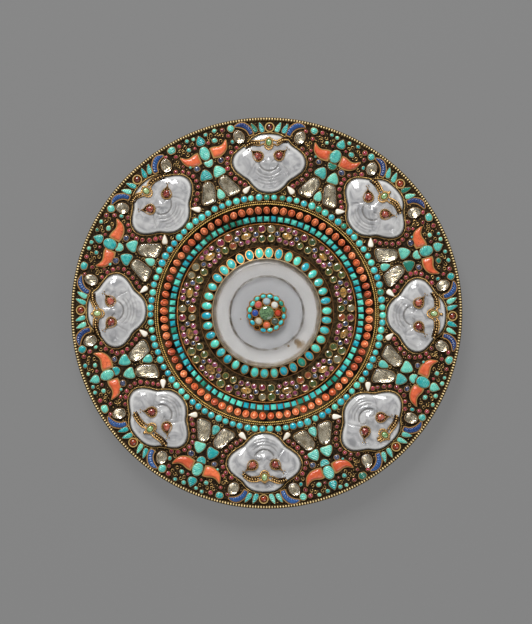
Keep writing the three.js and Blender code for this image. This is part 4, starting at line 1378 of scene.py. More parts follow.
garnets = copies("garnets", garnet, [clockwise(degrees) @ garnet_place for degrees in mask_degrees])
garnet_finish = jewel("garnet", linear(176, 66, 28), linear(56, 10, 12), transmission=0.35)
fix(garnets, garnet_finish)


# Diadems.
# Two beaded gilt wires with grains between them arch over each brow, and part round a green stone in a cup
# with a knob above it. The wires are tied to the collar at the temples.
def tube(name, path, radii, sides=8, flat=1.0):
    """A solid rod along an open path, round or flattened, that comes to a point at both ends."""
    path, radii = np.asarray(path, float), np.asarray(radii, float).copy()
    along = np.gradient(path, axis=0)
    along /= np.linalg.norm(along, axis=1, keepdims=True)
    side = np.stack([along[:, 1], -along[:, 0], np.zeros(len(along))], axis=1)
    side /= np.linalg.norm(side, axis=1, keepdims=True)
    up = np.cross(side, along)
    radii[[0, -1]] = 0
    rounds = [
        path + radii[:, None] * (math.cos(turn) * side + math.sin(turn) * up * flat)
        for turn in around(sides)]
    return mark_rise(rolled(name, np.stack(rounds, axis=1)))


def smooth_path(corners, steps):
    """A smooth open curve through these corners."""
    corners = np.asarray(corners, float)
    reach = np.concatenate([[0], np.cumsum(np.linalg.norm(np.diff(corners, axis=0), axis=1))])
    padded = np.vstack([2 * corners[0] - corners[1], corners, 2 * corners[-1] - corners[-2]])
    curve = []
    for place in np.linspace(0, reach[-1] * (1 - 1e-9), steps):
        span = np.searchsorted(reach, place, side="right") - 1
        t = (place - reach[span]) / (reach[span + 1] - reach[span])
        a, b, c, d = padded[span:span + 4]
        curve.append(0.5 * (2 * b + (c - a) * t + (2 * a - 5 * b + 4 * c - d) * t ** 2
                            + (3 * b - a - 3 * c + d) * t ** 3))
    return np.array(curve)


def over_crystal(path_px, lift, mouth_lift):
    """A path in pixels laid over a carved face, this far above it."""
    path = np.asarray(path_px, float) * pixel
    return np.column_stack([path, crystal_top(path[:, 0], path[:, 1], mouth_lift) + lift])


def moved_px(path_px, up):
    """A path moved outwards by this many pixels."""
    return [(x, y + up) for x, y in path_px]


diadem_wire = 0.68 * mm
diadem_bead_pitch = 1.7 * mm
diadem_bead_swell = 0.34
diadem_half_width_px = 2.3
diadem_steps = 130
diadem_shade_strip_steps = 20
diadem_shade_strip_lift = 0.25 * mm
diadem_lift = 0.45 * mm
diadem_loop_px = [(-4.9, -1.4), (-3.2, -5), (0, -6.8), (3.2, -5), (4.9, -1.4)]
diadem_arch_px = [(-4.4, 2.6), (0, 5.2), (4.4, 2.6)]
diadem_gem_width = 5.2 * pixel
diadem_gem_length = 6.8 * pixel
diadem_gem_height = 1.2 * mm
diadem_gem_girdle = 0.7 * mm
diadem_gem_lift = 0.2 * mm
diadem_cup_growth = 2.2 * mm
diadem_cup_height = 1.3 * mm
diadem_grain_width = 1.9 * mm
diadem_grains_per_arm = 7
knob_width = 3.0 * pixel
knob_length = 3.8 * pixel


def beaded_wire(corners_px, mouth_lift):
    """A beaded wire through these corners, over the crystal."""
    path = over_crystal(smooth_path(corners_px, diadem_steps), diadem_lift, mouth_lift)
    length = np.linalg.norm(np.diff(path, axis=0), axis=1).sum()
    beads = round(length / diadem_bead_pitch)
    swell = 1 + diadem_bead_swell * np.cos(2 * math.pi * beads * np.linspace(0, 1, diadem_steps))
    return tube("diadem_wire", path, diadem_wire * swell)


def diadem_parts(face):
    """One diadem: two beaded wires round its stone, with grains and a dark strip between them, a cup and a
    knob.
    """
    lift = face["mouth_lift"]
    stone_x, stone_y = face["stone"]
    left, right = face["arms"]
    parts = []
    for way, round_stone in ((-1, diadem_loop_px), (1, diadem_arch_px)):
        beside = [(stone_x + x, stone_y + y) for x, y in round_stone]
        width = way * diadem_half_width_px
        parts.append(beaded_wire(moved_px(left, width) + beside + moved_px(right, width), lift))
    grain_spots = np.vstack([smooth_path(arm, diadem_grains_per_arm) for arm in (left, right)])
    grain = half_ball("diadem_grain", diadem_grain_width, diadem_grain_width, diadem_grain_width / 2, 8, 3)
    parts.append(copies("diadem_grains", grain, [
        Matrix.Translation(spot) for spot in over_crystal(grain_spots, diadem_lift / 2, lift)]))
    # A flat strip under each arm, set fully dark, is painted shade between the beaded wires.
    for arm in (left, right):
        shade_strip_path = over_crystal(smooth_path(arm, diadem_shade_strip_steps), diadem_shade_strip_lift, lift)
        shade_strip_radii = [diadem_half_width_px * pixel] * diadem_shade_strip_steps
        shade_strip = tube("diadem_shade_strip", shade_strip_path, shade_strip_radii, flat=0.25)
        parts.append(evenly_bright(shade_strip, 0.0))
    knob = half_ball("knob", knob_width, knob_length, knob_width / 2, 10, 3)
    cup = collet("gem_cup", diadem_gem_width + diadem_cup_growth, diadem_gem_length + diadem_cup_growth,
                 diadem_cup_height, diadem_cup_growth / 4, sides=20)
    for part, spot in ((knob, face["knob"]), (cup, face["stone"])):
        part.data.transform(Matrix.Translation(over_crystal([spot], diadem_gem_lift, lift)[0]))
        parts.append(part)
    return parts


diadem_gilding = gilt("diadem gilding", linear(232, 186, 118), linear(38, 22, 12), grain_per_metre=800.0)
for number, (degrees, face) in enumerate(zip(mask_degrees, faces), 1):
    diadem = joined(f"diadem_{number}", diadem_parts(face))
    diadem.data.transform(clockwise(degrees))
    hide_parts(f"mask_diadem_{number}")
    fix(diadem, diadem_gilding)
diadem_gem = half_ball(
    "diadem_gem", diadem_gem_width, diadem_gem_length, diadem_gem_height, segments=14, rings=4,
    girdle=diadem_gem_girdle)
diadem_gems = copies("diadem_gems", diadem_gem, [
    clockwise(degrees) @ Matrix.Translation(
        over_crystal([face["stone"]], 2 * diadem_gem_lift, face["mouth_lift"])[0])
    for degrees, face in zip(mask_degrees, faces)])
pale_green_finish = jewel("pale green stone", linear(206, 232, 170), linear(110, 160, 96), transmission=0.3)
fix(diadem_gems, pale_green_finish)

# Eyes.
# Two rubies in drop-shaped collets with serrated edges, let into the crystal. The tip of each drop points
# up and out, and ends in a few granules.
eye_turn_degrees = -50
eye_half_outline_px = [(0, 8.8), (1.5, 6.4), (4.0, 3.9), (5.6, 0), (4.2, -4.0), (0, -5.6)]
eye_ruby_half_outline_px = [(0, 3.9), (1.8, 2.8), (3.1, 0.2), (2.5, -2.4), (0, -3.3)]
eye_mount_height = 2.3 * mm
eye_mount_insets = [(0.25 * mm, 0.5 * mm), (0.3 * mm, 0.0), (0.35 * mm, -1.0 * mm)]
eye_ruby_insets = [(0.5 * mm, 0.5 * mm), (0.7 * mm, 0.4 * mm), (0.6 * mm, 0.12 * mm)]
eye_outline = smooth_outline(mirrored(eye_half_outline_px), 5) * pixel
eye_teeth = 1 + 0.06 * np.cos(np.arange(len(eye_outline)) * math.pi)
eye_mount = raised(
    "eye_mount", eye_outline * eye_teeth[:, None], eye_mount_height * 0.7, eye_mount_insets, 30)
eye_ruby_outline = smooth_outline(mirrored(eye_ruby_half_outline_px), 4) * pixel
eye_ruby = raised("eye_ruby", eye_ruby_outline, eye_mount_height, eye_ruby_insets, 20)
eye_grain_count = 12
eye_grain_reach_px = 4.1
granule_spots_px = [(0, 9.6), (-1.4, 11.2), (1.2, 11.6), (0, 7.2)]
granule_spots_px += [
    (eye_grain_reach_px * math.sin(turn), eye_grain_reach_px * math.cos(turn))
    for turn in around(eye_grain_count)]
granule_width = 1.1 * mm
granule_height = 0.9 * mm
granule = half_ball("granule", granule_width, granule_width, granule_height, segments=8, rings=3)
eye_mount = joined("eye_mount", [eye_mount, copies("granules", granule, [
    Matrix.Translation((x * pixel, y * pixel, eye_mount_height * 0.3)) for x, y in granule_spots_px])])
eye_sink = 0.9 * mm
eye_finish = jewel("ruby of the eyes", linear(240, 130, 100), linear(136, 28, 30), transmission=0.5)
hands = {"left": -1, "right": 1}
for number, (degrees, face) in enumerate(zip(mask_degrees, faces), 1):
    for eye, (side, hand) in zip(face["eyes"], hands.items()):
        spot = over_crystal([eye], -eye_sink, face["mouth_lift"])[0]
        eye_turn = Matrix.Rotation(math.radians(hand * eye_turn_degrees), 4, "Z")
        eye_place = clockwise(degrees) @ Matrix.Translation(spot) @ eye_turn
        bezel = copies(f"eye_collet_{side}_{number}", eye_mount.copy(), [eye_place])
        fix(bezel, diadem_gilding)
        stone = copies(f"eye_stone_{side}_{number}", eye_ruby.copy(), [eye_place])
        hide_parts(f"mask_eye_{side}_{number}")
        fix(stone, eye_finish)
bpy.data.objects.remove(eye_mount)
bpy.data.objects.remove(eye_ruby)

# Ground plates of the winged figures.
# Each plate fills the flange from one mask to the next, and carries the collets and wires of a figure.
# Its surface is dark brown: patina, and painted shade between the stones.
plate_thickness = 0.9 * mm
plate_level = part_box("winged_panel_1")[0].z + plate_thickness
plate_outer_radius = 191.3 * pixel
plate_inner_radius = 119.4 * pixel
plate_gap = 0.1 * mm
plate_room = collar_gap + collar_thickness + plate_gap
half_sector = math.radians(sector_degrees / 2)


def arc(radius, angles):
    """Points round the dish's axis at these angles, clockwise from +Y."""
    return [(radius * math.sin(angle), radius * math.cos(angle)) for angle in angles]


def plate_outline():
    """Along the rim, down the side of one mask, back along the beads and up the side of the other."""
    mask_side = [point for point in grown(mask_outline, plate_room) if point[0] < 0]
    mask_side.sort(key=lambda point: math.atan2(point[0] - mask_middle[0], mask_middle[1] - point[1]))
    turn = Matrix.Rotation(-half_sector, 2)
    right_side = [tuple(turn @ Vector(point)) for point in mask_side]
    left_side = [(-x, y) for x, y in right_side]
    if right_side[0][1] < right_side[-1][1]:
        right_side.reverse()
        left_side.reverse()
    seam = math.radians(0.15)
    angles = np.linspace(-half_sector + seam, half_sector - seam, 40)
    rim, inner = arc(plate_outer_radius, angles), arc(plate_inner_radius, angles[::-1])
    return rim + right_side + inner + left_side[::-1]


ground_plate = raised("ground_plate_pattern", plate_outline(), plate_level - flange_level, [], 40)
ground_plate.data.transform(Matrix.Translation((0, 0, flange_level)))
# The dark colour is partly painted shade, since the plate shows only between the stones.
ground_gilding = gilt(
    "dark gilt ground", linear(84, 66, 42), linear(13, 9, 6), rub=0.24, grain_per_metre=700.0,
    bump_distance=0.0003)
for number, plate in enumerate(sector_copies("figure_plate", ground_plate, figure_degrees), 1):
    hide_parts(f"winged_panel_{number}")
    fix(plate, ground_gilding)


# Turquoises of the winged figures.
# The bird's head, body, tail and thighs, the drop between its legs, and loose stones along the rim. Each
# is ground flat below, domed above, and held by a collet of thin strip.
def drop_outline(half, steps):
    """A smooth outline round its own middle from its right half, in pixels."""
    return smooth_outline(mirrored(half), steps) * pixel


head_half_px = [(0, 5.2), (1.3, 4.0), (3.4, 1.2), (4.4, -1.4), (3.4, -4.0), (0, -4.8)]
body_half_px = [(0, 6.9), (3.4, 5.4), (5.2, 1.4), (5.0, -2.4), (3.2, -5.8), (0, -6.8)]
tail_half_px = [(0, 2.4), (2.4, 2.9), (4.3, 2.6), (4.3, 0.2), (2.8, -2.6), (0, -3.7)]
thigh_half_px = [(0, 6), (2.8, 4.2), (5.0, 1.0), (6.0, -2.2), (5.2, -4.6), (2.4, -5.0), (0, -4.8)]
hanging_drop_half_px = [(0, 5.4), (1.6, 4.2), (3.2, 1.4), (4.0, -1.4), (3.2, -4.0), (0, -5.0)]
leaf_half_px = [(0, 5.8), (1.0, 4.2), (2.0, 1.2), (2.4, -1.6), (1.9, -4.2), (0, -5.0)]
stone_wall = 1.1 * mm
dome_insets = [(0.4 * mm, 0.55 * mm), (0.6 * mm, 0.4 * mm), (0.6 * mm, 0.18 * mm)]
flat_insets = [(0.3 * mm, 0.35 * mm), (0.45 * mm, 0.2 * mm)]
pebble_insets = [(0.1, 0.28), (0.14, 0.18), (0.1, 0.05)]
pebble_holder_insets = [(0.07, 0.0), (0.03, -0.2)]
collet_growth = 0.32 * mm
collet_bed = 0.05 * mm
figure_collet_height = 1.0 * mm
small_stone_height = 2.0 * mm


def pebble_outline(name, sides=12):
    """A roundish outline, one across, a little uneven."""
    luck = random.Random(name)
    return [(0.5 * luck.uniform(0.88, 1.06) * x, 0.5 * luck.uniform(0.88, 1.06) * y)
            for x, y in oval(2, 2, sides)]


def setting(name, outline, insets):
    """A stone and its collet, both round the same middle."""
    stone = raised(name, outline, stone_wall, insets, 50)
    holder = raised(name + "_holder", grown(outline, collet_growth), figure_collet_height,
                    [(collet_growth, 0.0), (collet_bed, collet_bed - figure_collet_height)], 40)
    return stone, holder


def pebble_setting(name):
    """A small uneven stone, one across and one high, with its collet."""
    stone = raised(name, pebble_outline(name), 0.5, pebble_insets, 50)
    holder = raised(name + "_holder", grown(pebble_outline(name), 0.07), 0.5, pebble_holder_insets, 40)
    return stone, holder


turquoise_settings = {
    "head": setting("head", drop_outline(head_half_px, 3), dome_insets),
    "body": setting("body", drop_outline(body_half_px, 3), dome_insets),
    "tail": setting("tail", drop_outline(tail_half_px, 3), flat_insets),
    "thigh": setting("thigh", drop_outline(thigh_half_px, 3), dome_insets),
    "hanging": setting("hanging", drop_outline(hanging_drop_half_px, 3), dome_insets),
    "leaf": setting("leaf", drop_outline(leaf_half_px, 3), flat_insets),
    "pebble": pebble_setting("pebble"),
    "nugget": pebble_setting("nugget"),
}
figure_axis_px = 1.2
turquoise_spots_px = [
    ("head", 1.5, 184.4, 0), ("body", 1.3, 171.3, 0), ("tail", 1.6, 160.6, 0),
    ("thigh", -5.6, 150.4, -8), ("thigh", 8.0, 150.0, 8), ("hanging", 0.8, 127.6, 0)]
leaf_spots_px = [
    ("leaf", 8.6, 185.6, -22), ("leaf", 15.6, 184.6, -30), ("leaf", -8.6, 185.6, 22),
    ("leaf", -15.6, 184.6, 30)]
rim_pebbles_px = [
    ("pebble", -29, 186.2, 8.6, 7.6), ("nugget", 34, 184.6, 8.0, 7.6), ("pebble", -12.2, 180, 4.6, 4.4),
    ("nugget", 14.8, 179.2, 6.0, 4.6), ("nugget", -11, 189.3, 4.2, 3.6), ("pebble", -4.6, 188.8, 4.4, 4.2),
    ("pebble", 8.8, 188.4, 4.4, 4.2), ("nugget", 18, 188.6, 4.8, 3.8), ("pebble", 31, 171.6, 3.8, 4.6),
    ("nugget", -17.2, 163.2, 3.2, 2.8)]
collet_list = {number: [] for number in range(1, mask_count + 1)}


def in_sector(degrees, x, y, level, turn_degrees=0.0, size=(1, 1, 1)):
    """A place in a sector's own frame: x to the right of its axis and y outwards, in pixels."""
    spot = Matrix.Translation((x * pixel, y * pixel, level))
    turn = Matrix.Rotation(math.radians(turn_degrees), 4, "Z")
    return clockwise(degrees) @ spot @ turn @ Matrix.Diagonal((*size, 1))


def lay_stones(name, sectors, settings, spots, material, height=small_stone_height, exact=False):
    """Lays stones of one kind in every sector. A spot ends in a turn, or in the stone's width and length."""
    drift = 0 if exact else 0.4
    for number, degrees in enumerate(sectors, 1):
        luck = random.Random(f"{name} {number}")
        stones = []
        for label, x, y, *form in spots:
            swell = luck.uniform(0.85, 1.06) * pixel if len(form) == 2 else 1
            x, y = x + luck.uniform(-drift, drift), y + luck.uniform(-drift, drift)
            if exact:
                turn, size = form[0], (1, 1, 1)
            elif len(form) == 2:
                turn, size = luck.uniform(-25, 25), (form[0] * swell, form[1] * swell, height)
            else:
                turn = form[0] + luck.uniform(-5, 5)
                size = (luck.uniform(0.93, 1.03), luck.uniform(0.95, 1.02), 1)
            place = in_sector(degrees, x, y, plate_level, turn, size)
            stone, holder = settings[label]
            stones.append((stone, place))
            collet_list[number].append((holder, place))
        fix(gathered(f"{name}_{number}", stones), material)


carved_turquoise_finish = opaque_stone(
    "carved turquoise", linear(116, 206, 182), linear(0, 150, 152), linear(52, 28, 16),
    odd=linear(24, 116, 98), odd_share=0.03, shade_and_grime_below=0.62, roughness=0.2, bump_distance=0.0007)
carved_tree = carved_turquoise_finish.node_tree
feather_ridges = node(carved_tree, "TexWave", {
    "Vector": node(carved_tree, "TexCoord").outputs["Object"], "Scale": 230.0, "Distortion": 5.0,
    "Detail": 1.0, "Detail Scale": 0.6}, wave_type="RINGS", rings_direction="Z")
feather_bump = node(carved_tree, "Bump", {"Height": feather_ridges.outputs["Fac"], "Distance": 0.0003})
carved_tree.links.new(feather_bump.outputs["Normal"], carved_tree.nodes["Bump"].inputs["Normal"])
lay_stones("figure_turquoise", figure_degrees, turquoise_settings, turquoise_spots_px + rim_pebbles_px,
           carved_turquoise_finish)
lay_stones("crest_turquoise", mask_degrees, turquoise_settings, leaf_spots_px, carved_turquoise_finish)


# Coral wings.
# Each wing is one carved branch of coral, thick at the root and drawn out to a tip.
def pillow(name, edge_a, edge_b, height, steps=18, across=8, ribs=0):
    """A cushion between two edges, in pixels, that run side by side from one end to the other."""
    edge_a = smooth_path(np.array(edge_a, float) * pixel, steps)
    edge_b = smooth_path(np.array(edge_b, float) * pixel, steps)
    rounds = []
    for station, (a, b) in enumerate(zip(edge_a, edge_b)):
        end_share = abs(2 * station / (steps - 1) - 1)
        fullness = math.sqrt(1 - end_share ** 6)
        ring = []
        for place in range(across + 1):
            share = place / across
            rib = 1
            if ribs:
                rib = 0.82 + 0.18 * math.cos(2 * math.pi * (ribs * station / (steps - 1) + 0.5 * share))
            level = height * rib * fullness * math.sqrt(1 - abs(2 * share - 1) ** 3)
            ring.append((*(a + (b - a) * share), level))
        for place in range(across - 1, 0, -1):
            ring.append((*(a + (b - a) * place / across), 0.0))
        rounds.append(ring)
    return mark_rise(rolled(name, rounds, smooth_degrees=55))


def mirrored_edge(edge, hand, middle):
    """An edge round its own middle, on the right or the left hand."""
    return [(hand * (x - middle[0]), y - middle[1]) for x, y in edge]


def pillow_settings(name, edges_px, middle, height, growth, holder_height, **form):
    """A cushion and the plate that holds it, for each hand."""
    settings = {}
    for side, hand in hands.items():
        edges = [mirrored_edge(edge, hand, middle) for edge in edges_px]
        stone = pillow(f"{side}_{name}", *edges, height, **form)
        first, second = (smooth_path(np.array(edge) * pixel, 12) for edge in edges)
        outline = grown(np.vstack([first, second[::-1]]), growth)
        settings[side] = (stone, raised(f"{side}_{name}_holder", outline, holder_height, [], 40))
    return settings


wing_edges_px = [
    [(6.0, 174.4), (10.5, 173.9), (15.5, 172.3), (20, 172.8), (25, 176)],
    [(5.6, 163.3), (11.5, 162.6), (17.5, 163.8), (22.6, 167.8), (25.2, 175)]]
wing_height = 2.3 * mm
wing_holder_growth = 0.4 * mm
wing_middle_px = (14, 169)
wing_settings = pillow_settings(
    "wing", wing_edges_px, wing_middle_px, wing_height, wing_holder_growth, figure_collet_height)
wing_spots_px = [
    ("right", figure_axis_px + wing_middle_px[0], wing_middle_px[1], 0),
    ("left", figure_axis_px - wing_middle_px[0], wing_middle_px[1], 0)]
wing_finish = opaque_stone(
    "coral of the wings", linear(234, 116, 68), linear(190, 76, 38), linear(70, 26, 14), veining=0.35,
    shade_and_grime_below=0.35, roughness=0.3, bump_distance=0.0008)
lay_stones("coral_wings", figure_degrees, wing_settings, wing_spots_px, wing_finish)

# Crystal bells and drops.
# Two flaring bells of clear crystal are the bird's legs, and a drop lies at each side of every mask's
# forehead. Each sits in a cup of bright, stained and crinkled foil, which throws the light back through it.
bell_outline_px = [
    (3.4, 134), (3, 140), (6.6, 143.8), (11.5, 143.2), (14.6, 138), (18, 131), (20.2, 125.4), (17.6, 122.7),
    (12, 122.2), (7.4, 122.9), (5, 128.5)]
bell_middle_px = (10, 133)
bell_insets = [(0.35 * mm, 0.55 * mm), (0.9 * mm, 0.4 * mm), (0.9 * mm, 0.1 * mm)]
bell_under = [(0.7 * mm, 0.22 * mm), (2.1 * mm, 0.5 * mm)]
bell_wall = 0.4 * mm
bell_strip_height = 1.2 * figure_collet_height
cup_gap = 0.05 * mm
cup_lift = 0.1 * mm
crystal_drop_half_px = [(0, 6.6), (3.0, 5.0), (4.9, 1.0), (4.6, -3.0), (2.6, -5.8), (0, -6.4)]
bell_outlines = {
    side: smooth_outline(mirrored_edge(bell_outline_px, hand, bell_middle_px), 2) * pixel
    for side, hand in hands.items()}
bell_outlines["drop"] = drop_outline(crystal_drop_half_px, 3)
bell_settings = {}
cup_patterns = {}
cup_height_over_all = sum(depth for thickness, depth in bell_under) + foil_thickness
cup_insets = [(0.0, 0.0)] + [(thickness, -depth) for thickness, depth in bell_under]
strip_insets = [(collet_growth * 0.8, 0.0), (0.0, cup_gap - bell_strip_height)]
for label, outline in bell_outlines.items():
    stone = raised(f"{label}_crystal", outline, bell_wall, bell_insets, 50, under=bell_under)
    stone.data.transform(Matrix.Translation((0, 0, cup_lift + foil_thickness + cup_gap)))
    strip = raised(f"{label}_strip", grown(outline, collet_growth), bell_strip_height, strip_insets, 40)
    bell_settings[label] = (stone, strip)
    cup_patterns[label] = raised(f"{label}_cup", outline, cup_height_over_all, cup_insets, 60)
bell_spots_px = [
    ("right", figure_axis_px + bell_middle_px[0] - 0.4, bell_middle_px[1], 0),
    ("left", figure_axis_px - bell_middle_px[0] - 0.6, bell_middle_px[1], 0)]
crystal_drop_spots_px = [("drop", 30.6, 176, -28), ("drop", -30.6, 176, 28)]
foil_cups = gathered("foil_cups", [
    (cup_patterns[label], in_sector(degrees, x, y, plate_level + cup_lift, turn))
    for turns, spots in ((figure_degrees, bell_spots_px), (mask_degrees, crystal_drop_spots_px))
    for degrees in turns for label, x, y, turn in spots])
for pattern in cup_patterns.values():
    bpy.data.objects.remove(pattern)

# The foil's creases run outwards from the middle of the dish, as the flutes of the bells do.
crease_stretch = 0.16
crease_depth = 1.1 * mm
cup_finish = finish("crinkled foil", Roughness=0.25, Metallic=0.9)
cup_tree = cup_finish.node_tree
cup_place = node(cup_tree, "TexCoord").outputs["Object"]
cup_parts = node(cup_tree, "SeparateXYZ", {"Vector": cup_place}).outputs
cup_turn = reckoned(cup_tree, "ARCTAN2", cup_parts["X"], cup_parts["Y"])
cup_across = reckoned(cup_tree, "MULTIPLY", cup_turn, bell_middle_px[1] * pixel)
cup_outwards = node(cup_tree, "VectorMath", {0: cup_place}, operation="LENGTH").outputs["Value"]
cup_along = reckoned(cup_tree, "MULTIPLY", cup_outwards, crease_stretch)
cup_flow = node(cup_tree, "CombineXYZ", {"X": cup_across, "Y": cup_along}).outputs["Vector"]
bumped(cup_finish, clouds(cup_tree, cup_flow, 640.0, 1.0, Distortion=0.3), crease_depth)
cup_stains = mapped(cup_tree, clouds(cup_tree, cup_place, 260.0, 3.0), 0.36, 0.68)
feed(cup_finish, Base_Color=blend(cup_tree, cup_stains, linear(250, 246, 236), linear(182, 168, 142)))
fix(foil_cups, cup_finish)
bell_finish = finish(
    "clear crystal over foil", Base_Color=linear(250, 246, 236), Roughness=0.04, Transmission_Weight=1.0,
    IOR=1.54)
lay_stones("crystal_bells", figure_degrees, bell_settings, bell_spots_px, bell_finish,
           exact=True)
lay_stones("crystal_drops", mask_degrees, bell_settings, crystal_drop_spots_px, bell_finish,
           exact=True)

# Rubies and sapphires of the figures.
# A chain of small rubies follows each cheek of the masks, and more lie loose between the other stones.
red_ruby_finish = jewel("red ruby", linear(242, 84, 116), linear(126, 10, 44), transmission=0.6)
ruby_settings = {"gem": pebble_setting("gem"), "chip": pebble_setting("chip")}
chain_half_px = [
    (33, 165), (38, 160), (41.2, 154.5), (42.2, 149), (41.4, 143.6), (38, 138.6), (33.4, 134.2),
    (28.4, 130.6),
    (24, 127.8)]
chain_width_px = 4.1
chain_spots_px = [
    ("gem", hand * x, y, chain_width_px, chain_width_px) for hand in (-1, 1) for x, y in chain_half_px]
loose_ruby_spots_px = [
    ("chip", -20, 187.4, 4.4, 4.2), ("chip", -27, 178.6, 4, 3.6), ("gem", -36.4, 182.4, 4.2, 3.4),
    ("gem", 26.4, 186, 4.6, 4.6), ("chip", 29, 178.8, 3.8, 4.2), ("chip", -6, 179.2, 3, 3),
    ("gem", 8.2, 179.4, 3.2, 3)]
blue_spots_px = [("gem", -12, 159.6, 6.2, 6), ("gem", 13.4, 158.8, 6.2, 6)]
lay_stones("ruby_chain", mask_degrees, ruby_settings, chain_spots_px, red_ruby_finish)
lay_stones("loose_rubies", figure_degrees, ruby_settings, loose_ruby_spots_px, red_ruby_finish)
lay_stones("figure_sapphires", figure_degrees, ruby_settings, blue_spots_px, sapphire_finish)

# Lapis crescents.
# A curved and ribbed piece of lapis lazuli lies over each shoulder of a mask.
lapis_edges_px = [
    [(15.8, 178), (18.6, 184.6), (24.6, 189.6), (30.6, 190), (35.6, 187)],
    [(20.6, 176.4), (23, 181), (26.8, 183.8), (30.6, 185), (35.6, 185.6)]]
lapis_height = 2.3 * mm
lapis_holder_growth = 0.5 * mm
lapis_holder_height = 0.7 * mm
lapis_middle_px = (26, 184)
lapis_settings = pillow_settings(
    "lapis", lapis_edges_px, lapis_middle_px, lapis_height, lapis_holder_growth, lapis_holder_height,
    steps=72, across=6, ribs=9)
lapis_finish = opaque_stone(
    "lapis lazuli", linear(42, 90, 150), linear(17, 42, 98), linear(10, 12, 28), veining=0.15,
    shade_and_grime_below=0.86, shade_and_grime=0.9)
lapis_spots_px = [(side, hand * lapis_middle_px[0], lapis_middle_px[1], 0) for side, hand in hands.items()]
lay_stones("lapis_crescents", mask_degrees, lapis_settings, lapis_spots_px, lapis_finish)

# Teeth.
# Two small white pieces of shell stand at the corners of every mask's jaw.
tooth_half_px = [(0, 5.0), (1.1, 3.2), (2.2, 0.2), (2.6, -2.6), (1.6, -4.2), (0, -4.4)]
tooth_settings = {"tooth": setting("tooth", drop_outline(tooth_half_px, 3), flat_insets)}
tooth_spots_px = [("tooth", 21.8, 123.4, 42), ("tooth", -21.8, 123.4, -42)]
tooth_finish = opaque_stone(
    "shell", linear(240, 236, 224), linear(222, 214, 196), linear(160, 150, 130), veining=0.1)
lay_stones("shell_teeth", mask_degrees, tooth_settings, tooth_spots_px, tooth_finish)

# Filigree and granules.
# Curls of thin wire fill the dark ground along the rim, and small rubies and grains of gold lie in every
# gap between the larger stones.
def rotated(spot, degrees):
    """A spot of one sector, in pixels, seen from a sector so many degrees further round."""
    x, y = spot
    turn = math.radians(degrees)
    return x * math.cos(turn) - y * math.sin(turn), x * math.sin(turn) + y * math.cos(turn)


def near_mask(x, y, room):
    """Whether a spot of a figure's sector lies within this many pixels of a mask at its side."""
    across, up = rotated((abs(x), y), sector_degrees / 2)
    angle = math.atan2(across - mask_middle_px[0], up - mask_middle_px[1])
    reach = np.interp(angle, outline_angles, outline_reaches, period=2 * math.pi) / pixel
    return math.hypot(across - mask_middle_px[0], up - mask_middle_px[1]) < reach + room


taken = [(x, y, 5.4) for x, y in ((1.5, 184.4), (1.3, 174), (1.3, 168.5), (1.6, 160.6), (0.8, 127.6))]
taken += [(figure_axis_px + hand * x, y, reach) for hand in (-1, 1) for x, y, reach in (
    (8, 169, 6.6), (14, 168, 6.4), (19, 169.5, 5.2), (23.5, 173.5, 3.4), (6.8, 150, 7), (8.5, 139, 6.8),
    (11, 131, 7.4), (13.5, 126, 8), (13, 159.2, 4.2))]
taken += [
    (x, y, max(width, length) / 2 + 0.8)
    for _, x, y, width, length in rim_pebbles_px + loose_ruby_spots_px]
beside_mask_px = [
    (8.6, 185.6, 4), (15.6, 184.6, 4), (18.5, 180, 3.6), (21, 185, 4), (26, 187.2, 3.6), (31, 187.4, 3.4),
    (35, 186, 2.8), (30.6, 176, 7), (21.8, 123.4, 4.4), (0, 186, 6)]
beside_mask_px += [(x, y, 3.0) for x, y in chain_half_px]
taken += [
    (*rotated((hand * x, y), hand * sector_degrees / 2), reach)
    for hand in (-1, 1) for x, y, reach in beside_mask_px]


def fill_gaps(tries, size_px, low, high, room, luck):
    """Spots for small things of this size that touch nothing that is there already."""
    spots = []
    for _ in range(tries):
        angle = luck.uniform(-half_sector, half_sector)
        reach = luck.uniform(low, high)
        x, y = reach * math.sin(angle), reach * math.cos(angle)
        clear = all(math.hypot(x - a, y - b) > size_px / 2 + other for a, b, other in taken)
        if clear and not near_mask(x, y, room):
            spots.append((x, y))
            taken.append((x, y, size_px / 2 + 0.2))
    return spots


luck = random.Random("fillings")
small_ruby_px = 3.3
curl_px = 3.3
granule_px = 1.6
filling_spots = {
    "chip": fill_gaps(60, small_ruby_px, 121.5, 188.5, 4.2, luck),
    "curl": fill_gaps(3000, curl_px, 121, 190, 3.6, luck),
    "granule": fill_gaps(3000, granule_px, 120.5, 190.4, 2.6, luck)}

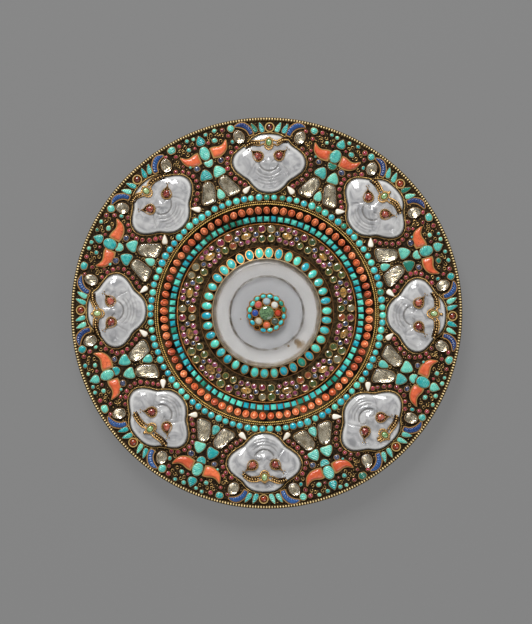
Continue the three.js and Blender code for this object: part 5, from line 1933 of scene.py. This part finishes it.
curl_turns = 0.92
curl_steps = 16
curl_wire = 0.3 * mm
curl_narrowing = 0.3
curl_path = []
for step in range(curl_steps + 1):
    share = step / curl_steps
    reach = 0.5 * curl_px * pixel * (1 - curl_narrowing * share)
    turn = 2 * math.pi * curl_turns * share
    curl_path.append((reach * math.cos(turn), reach * math.sin(turn), curl_wire))
curl = tube("curl", curl_path, [curl_wire] * len(curl_path), sides=5)
filigree_gilding = gilt("filigree gilding", linear(206, 166, 102), linear(40, 28, 15))
small_granule_width = granule_px * pixel
small_granule_height = 0.7 * mm
small_granule = half_ball(
    "small_granule", small_granule_width, small_granule_width, small_granule_height, segments=6, rings=2)
for number, degrees in enumerate(figure_degrees, 1):
    luck = random.Random(number)
    wires = [
        (curl, in_sector(degrees, x, y, plate_level, luck.uniform(0, 360), (luck.choice((-1, 1)), 1, 1)))
        for x, y in filling_spots["curl"]]
    grains = [
        (small_granule, in_sector(degrees, x, y, plate_level, 0, [luck.uniform(0.6, 1.1)] * 3))
        for x, y in filling_spots["granule"]]
    filigree = gathered(f"filigree_{number}", wires + grains)
    bpy.ops.object.select_all(action="DESELECT")
    bpy.context.view_layer.objects.active = filigree
    bpy.ops.object.mode_set(mode="EDIT")
    bpy.ops.mesh.select_all(action="SELECT")
    bpy.ops.mesh.normals_make_consistent(inside=False)
    bpy.ops.object.mode_set(mode="OBJECT")
    fix(filigree, filigree_gilding)
small_ruby_height = 1.5 * mm
small_ruby_spots_px = [("chip", x, y, small_ruby_px, small_ruby_px) for x, y in filling_spots["chip"]]
lay_stones("small_rubies", figure_degrees, ruby_settings, small_ruby_spots_px, red_ruby_finish,
           small_ruby_height)

# Collets of the figures.
# The strips that hold the stones of a sector are soldered to its ground plate as one piece.
figure_gilding = gilt("figure gilding", linear(204, 156, 94), linear(44, 24, 14))
for number, holders in collet_list.items():
    fix(gathered(f"figure_collets_{number}", holders), figure_gilding)
used_up = [curl, small_granule]
for settings in (
        turquoise_settings, wing_settings, bell_settings, ruby_settings, lapis_settings, tooth_settings):
    used_up += [pattern for pair in settings.values() for pattern in pair]
for pattern in used_up:
    bpy.data.objects.remove(pattern)
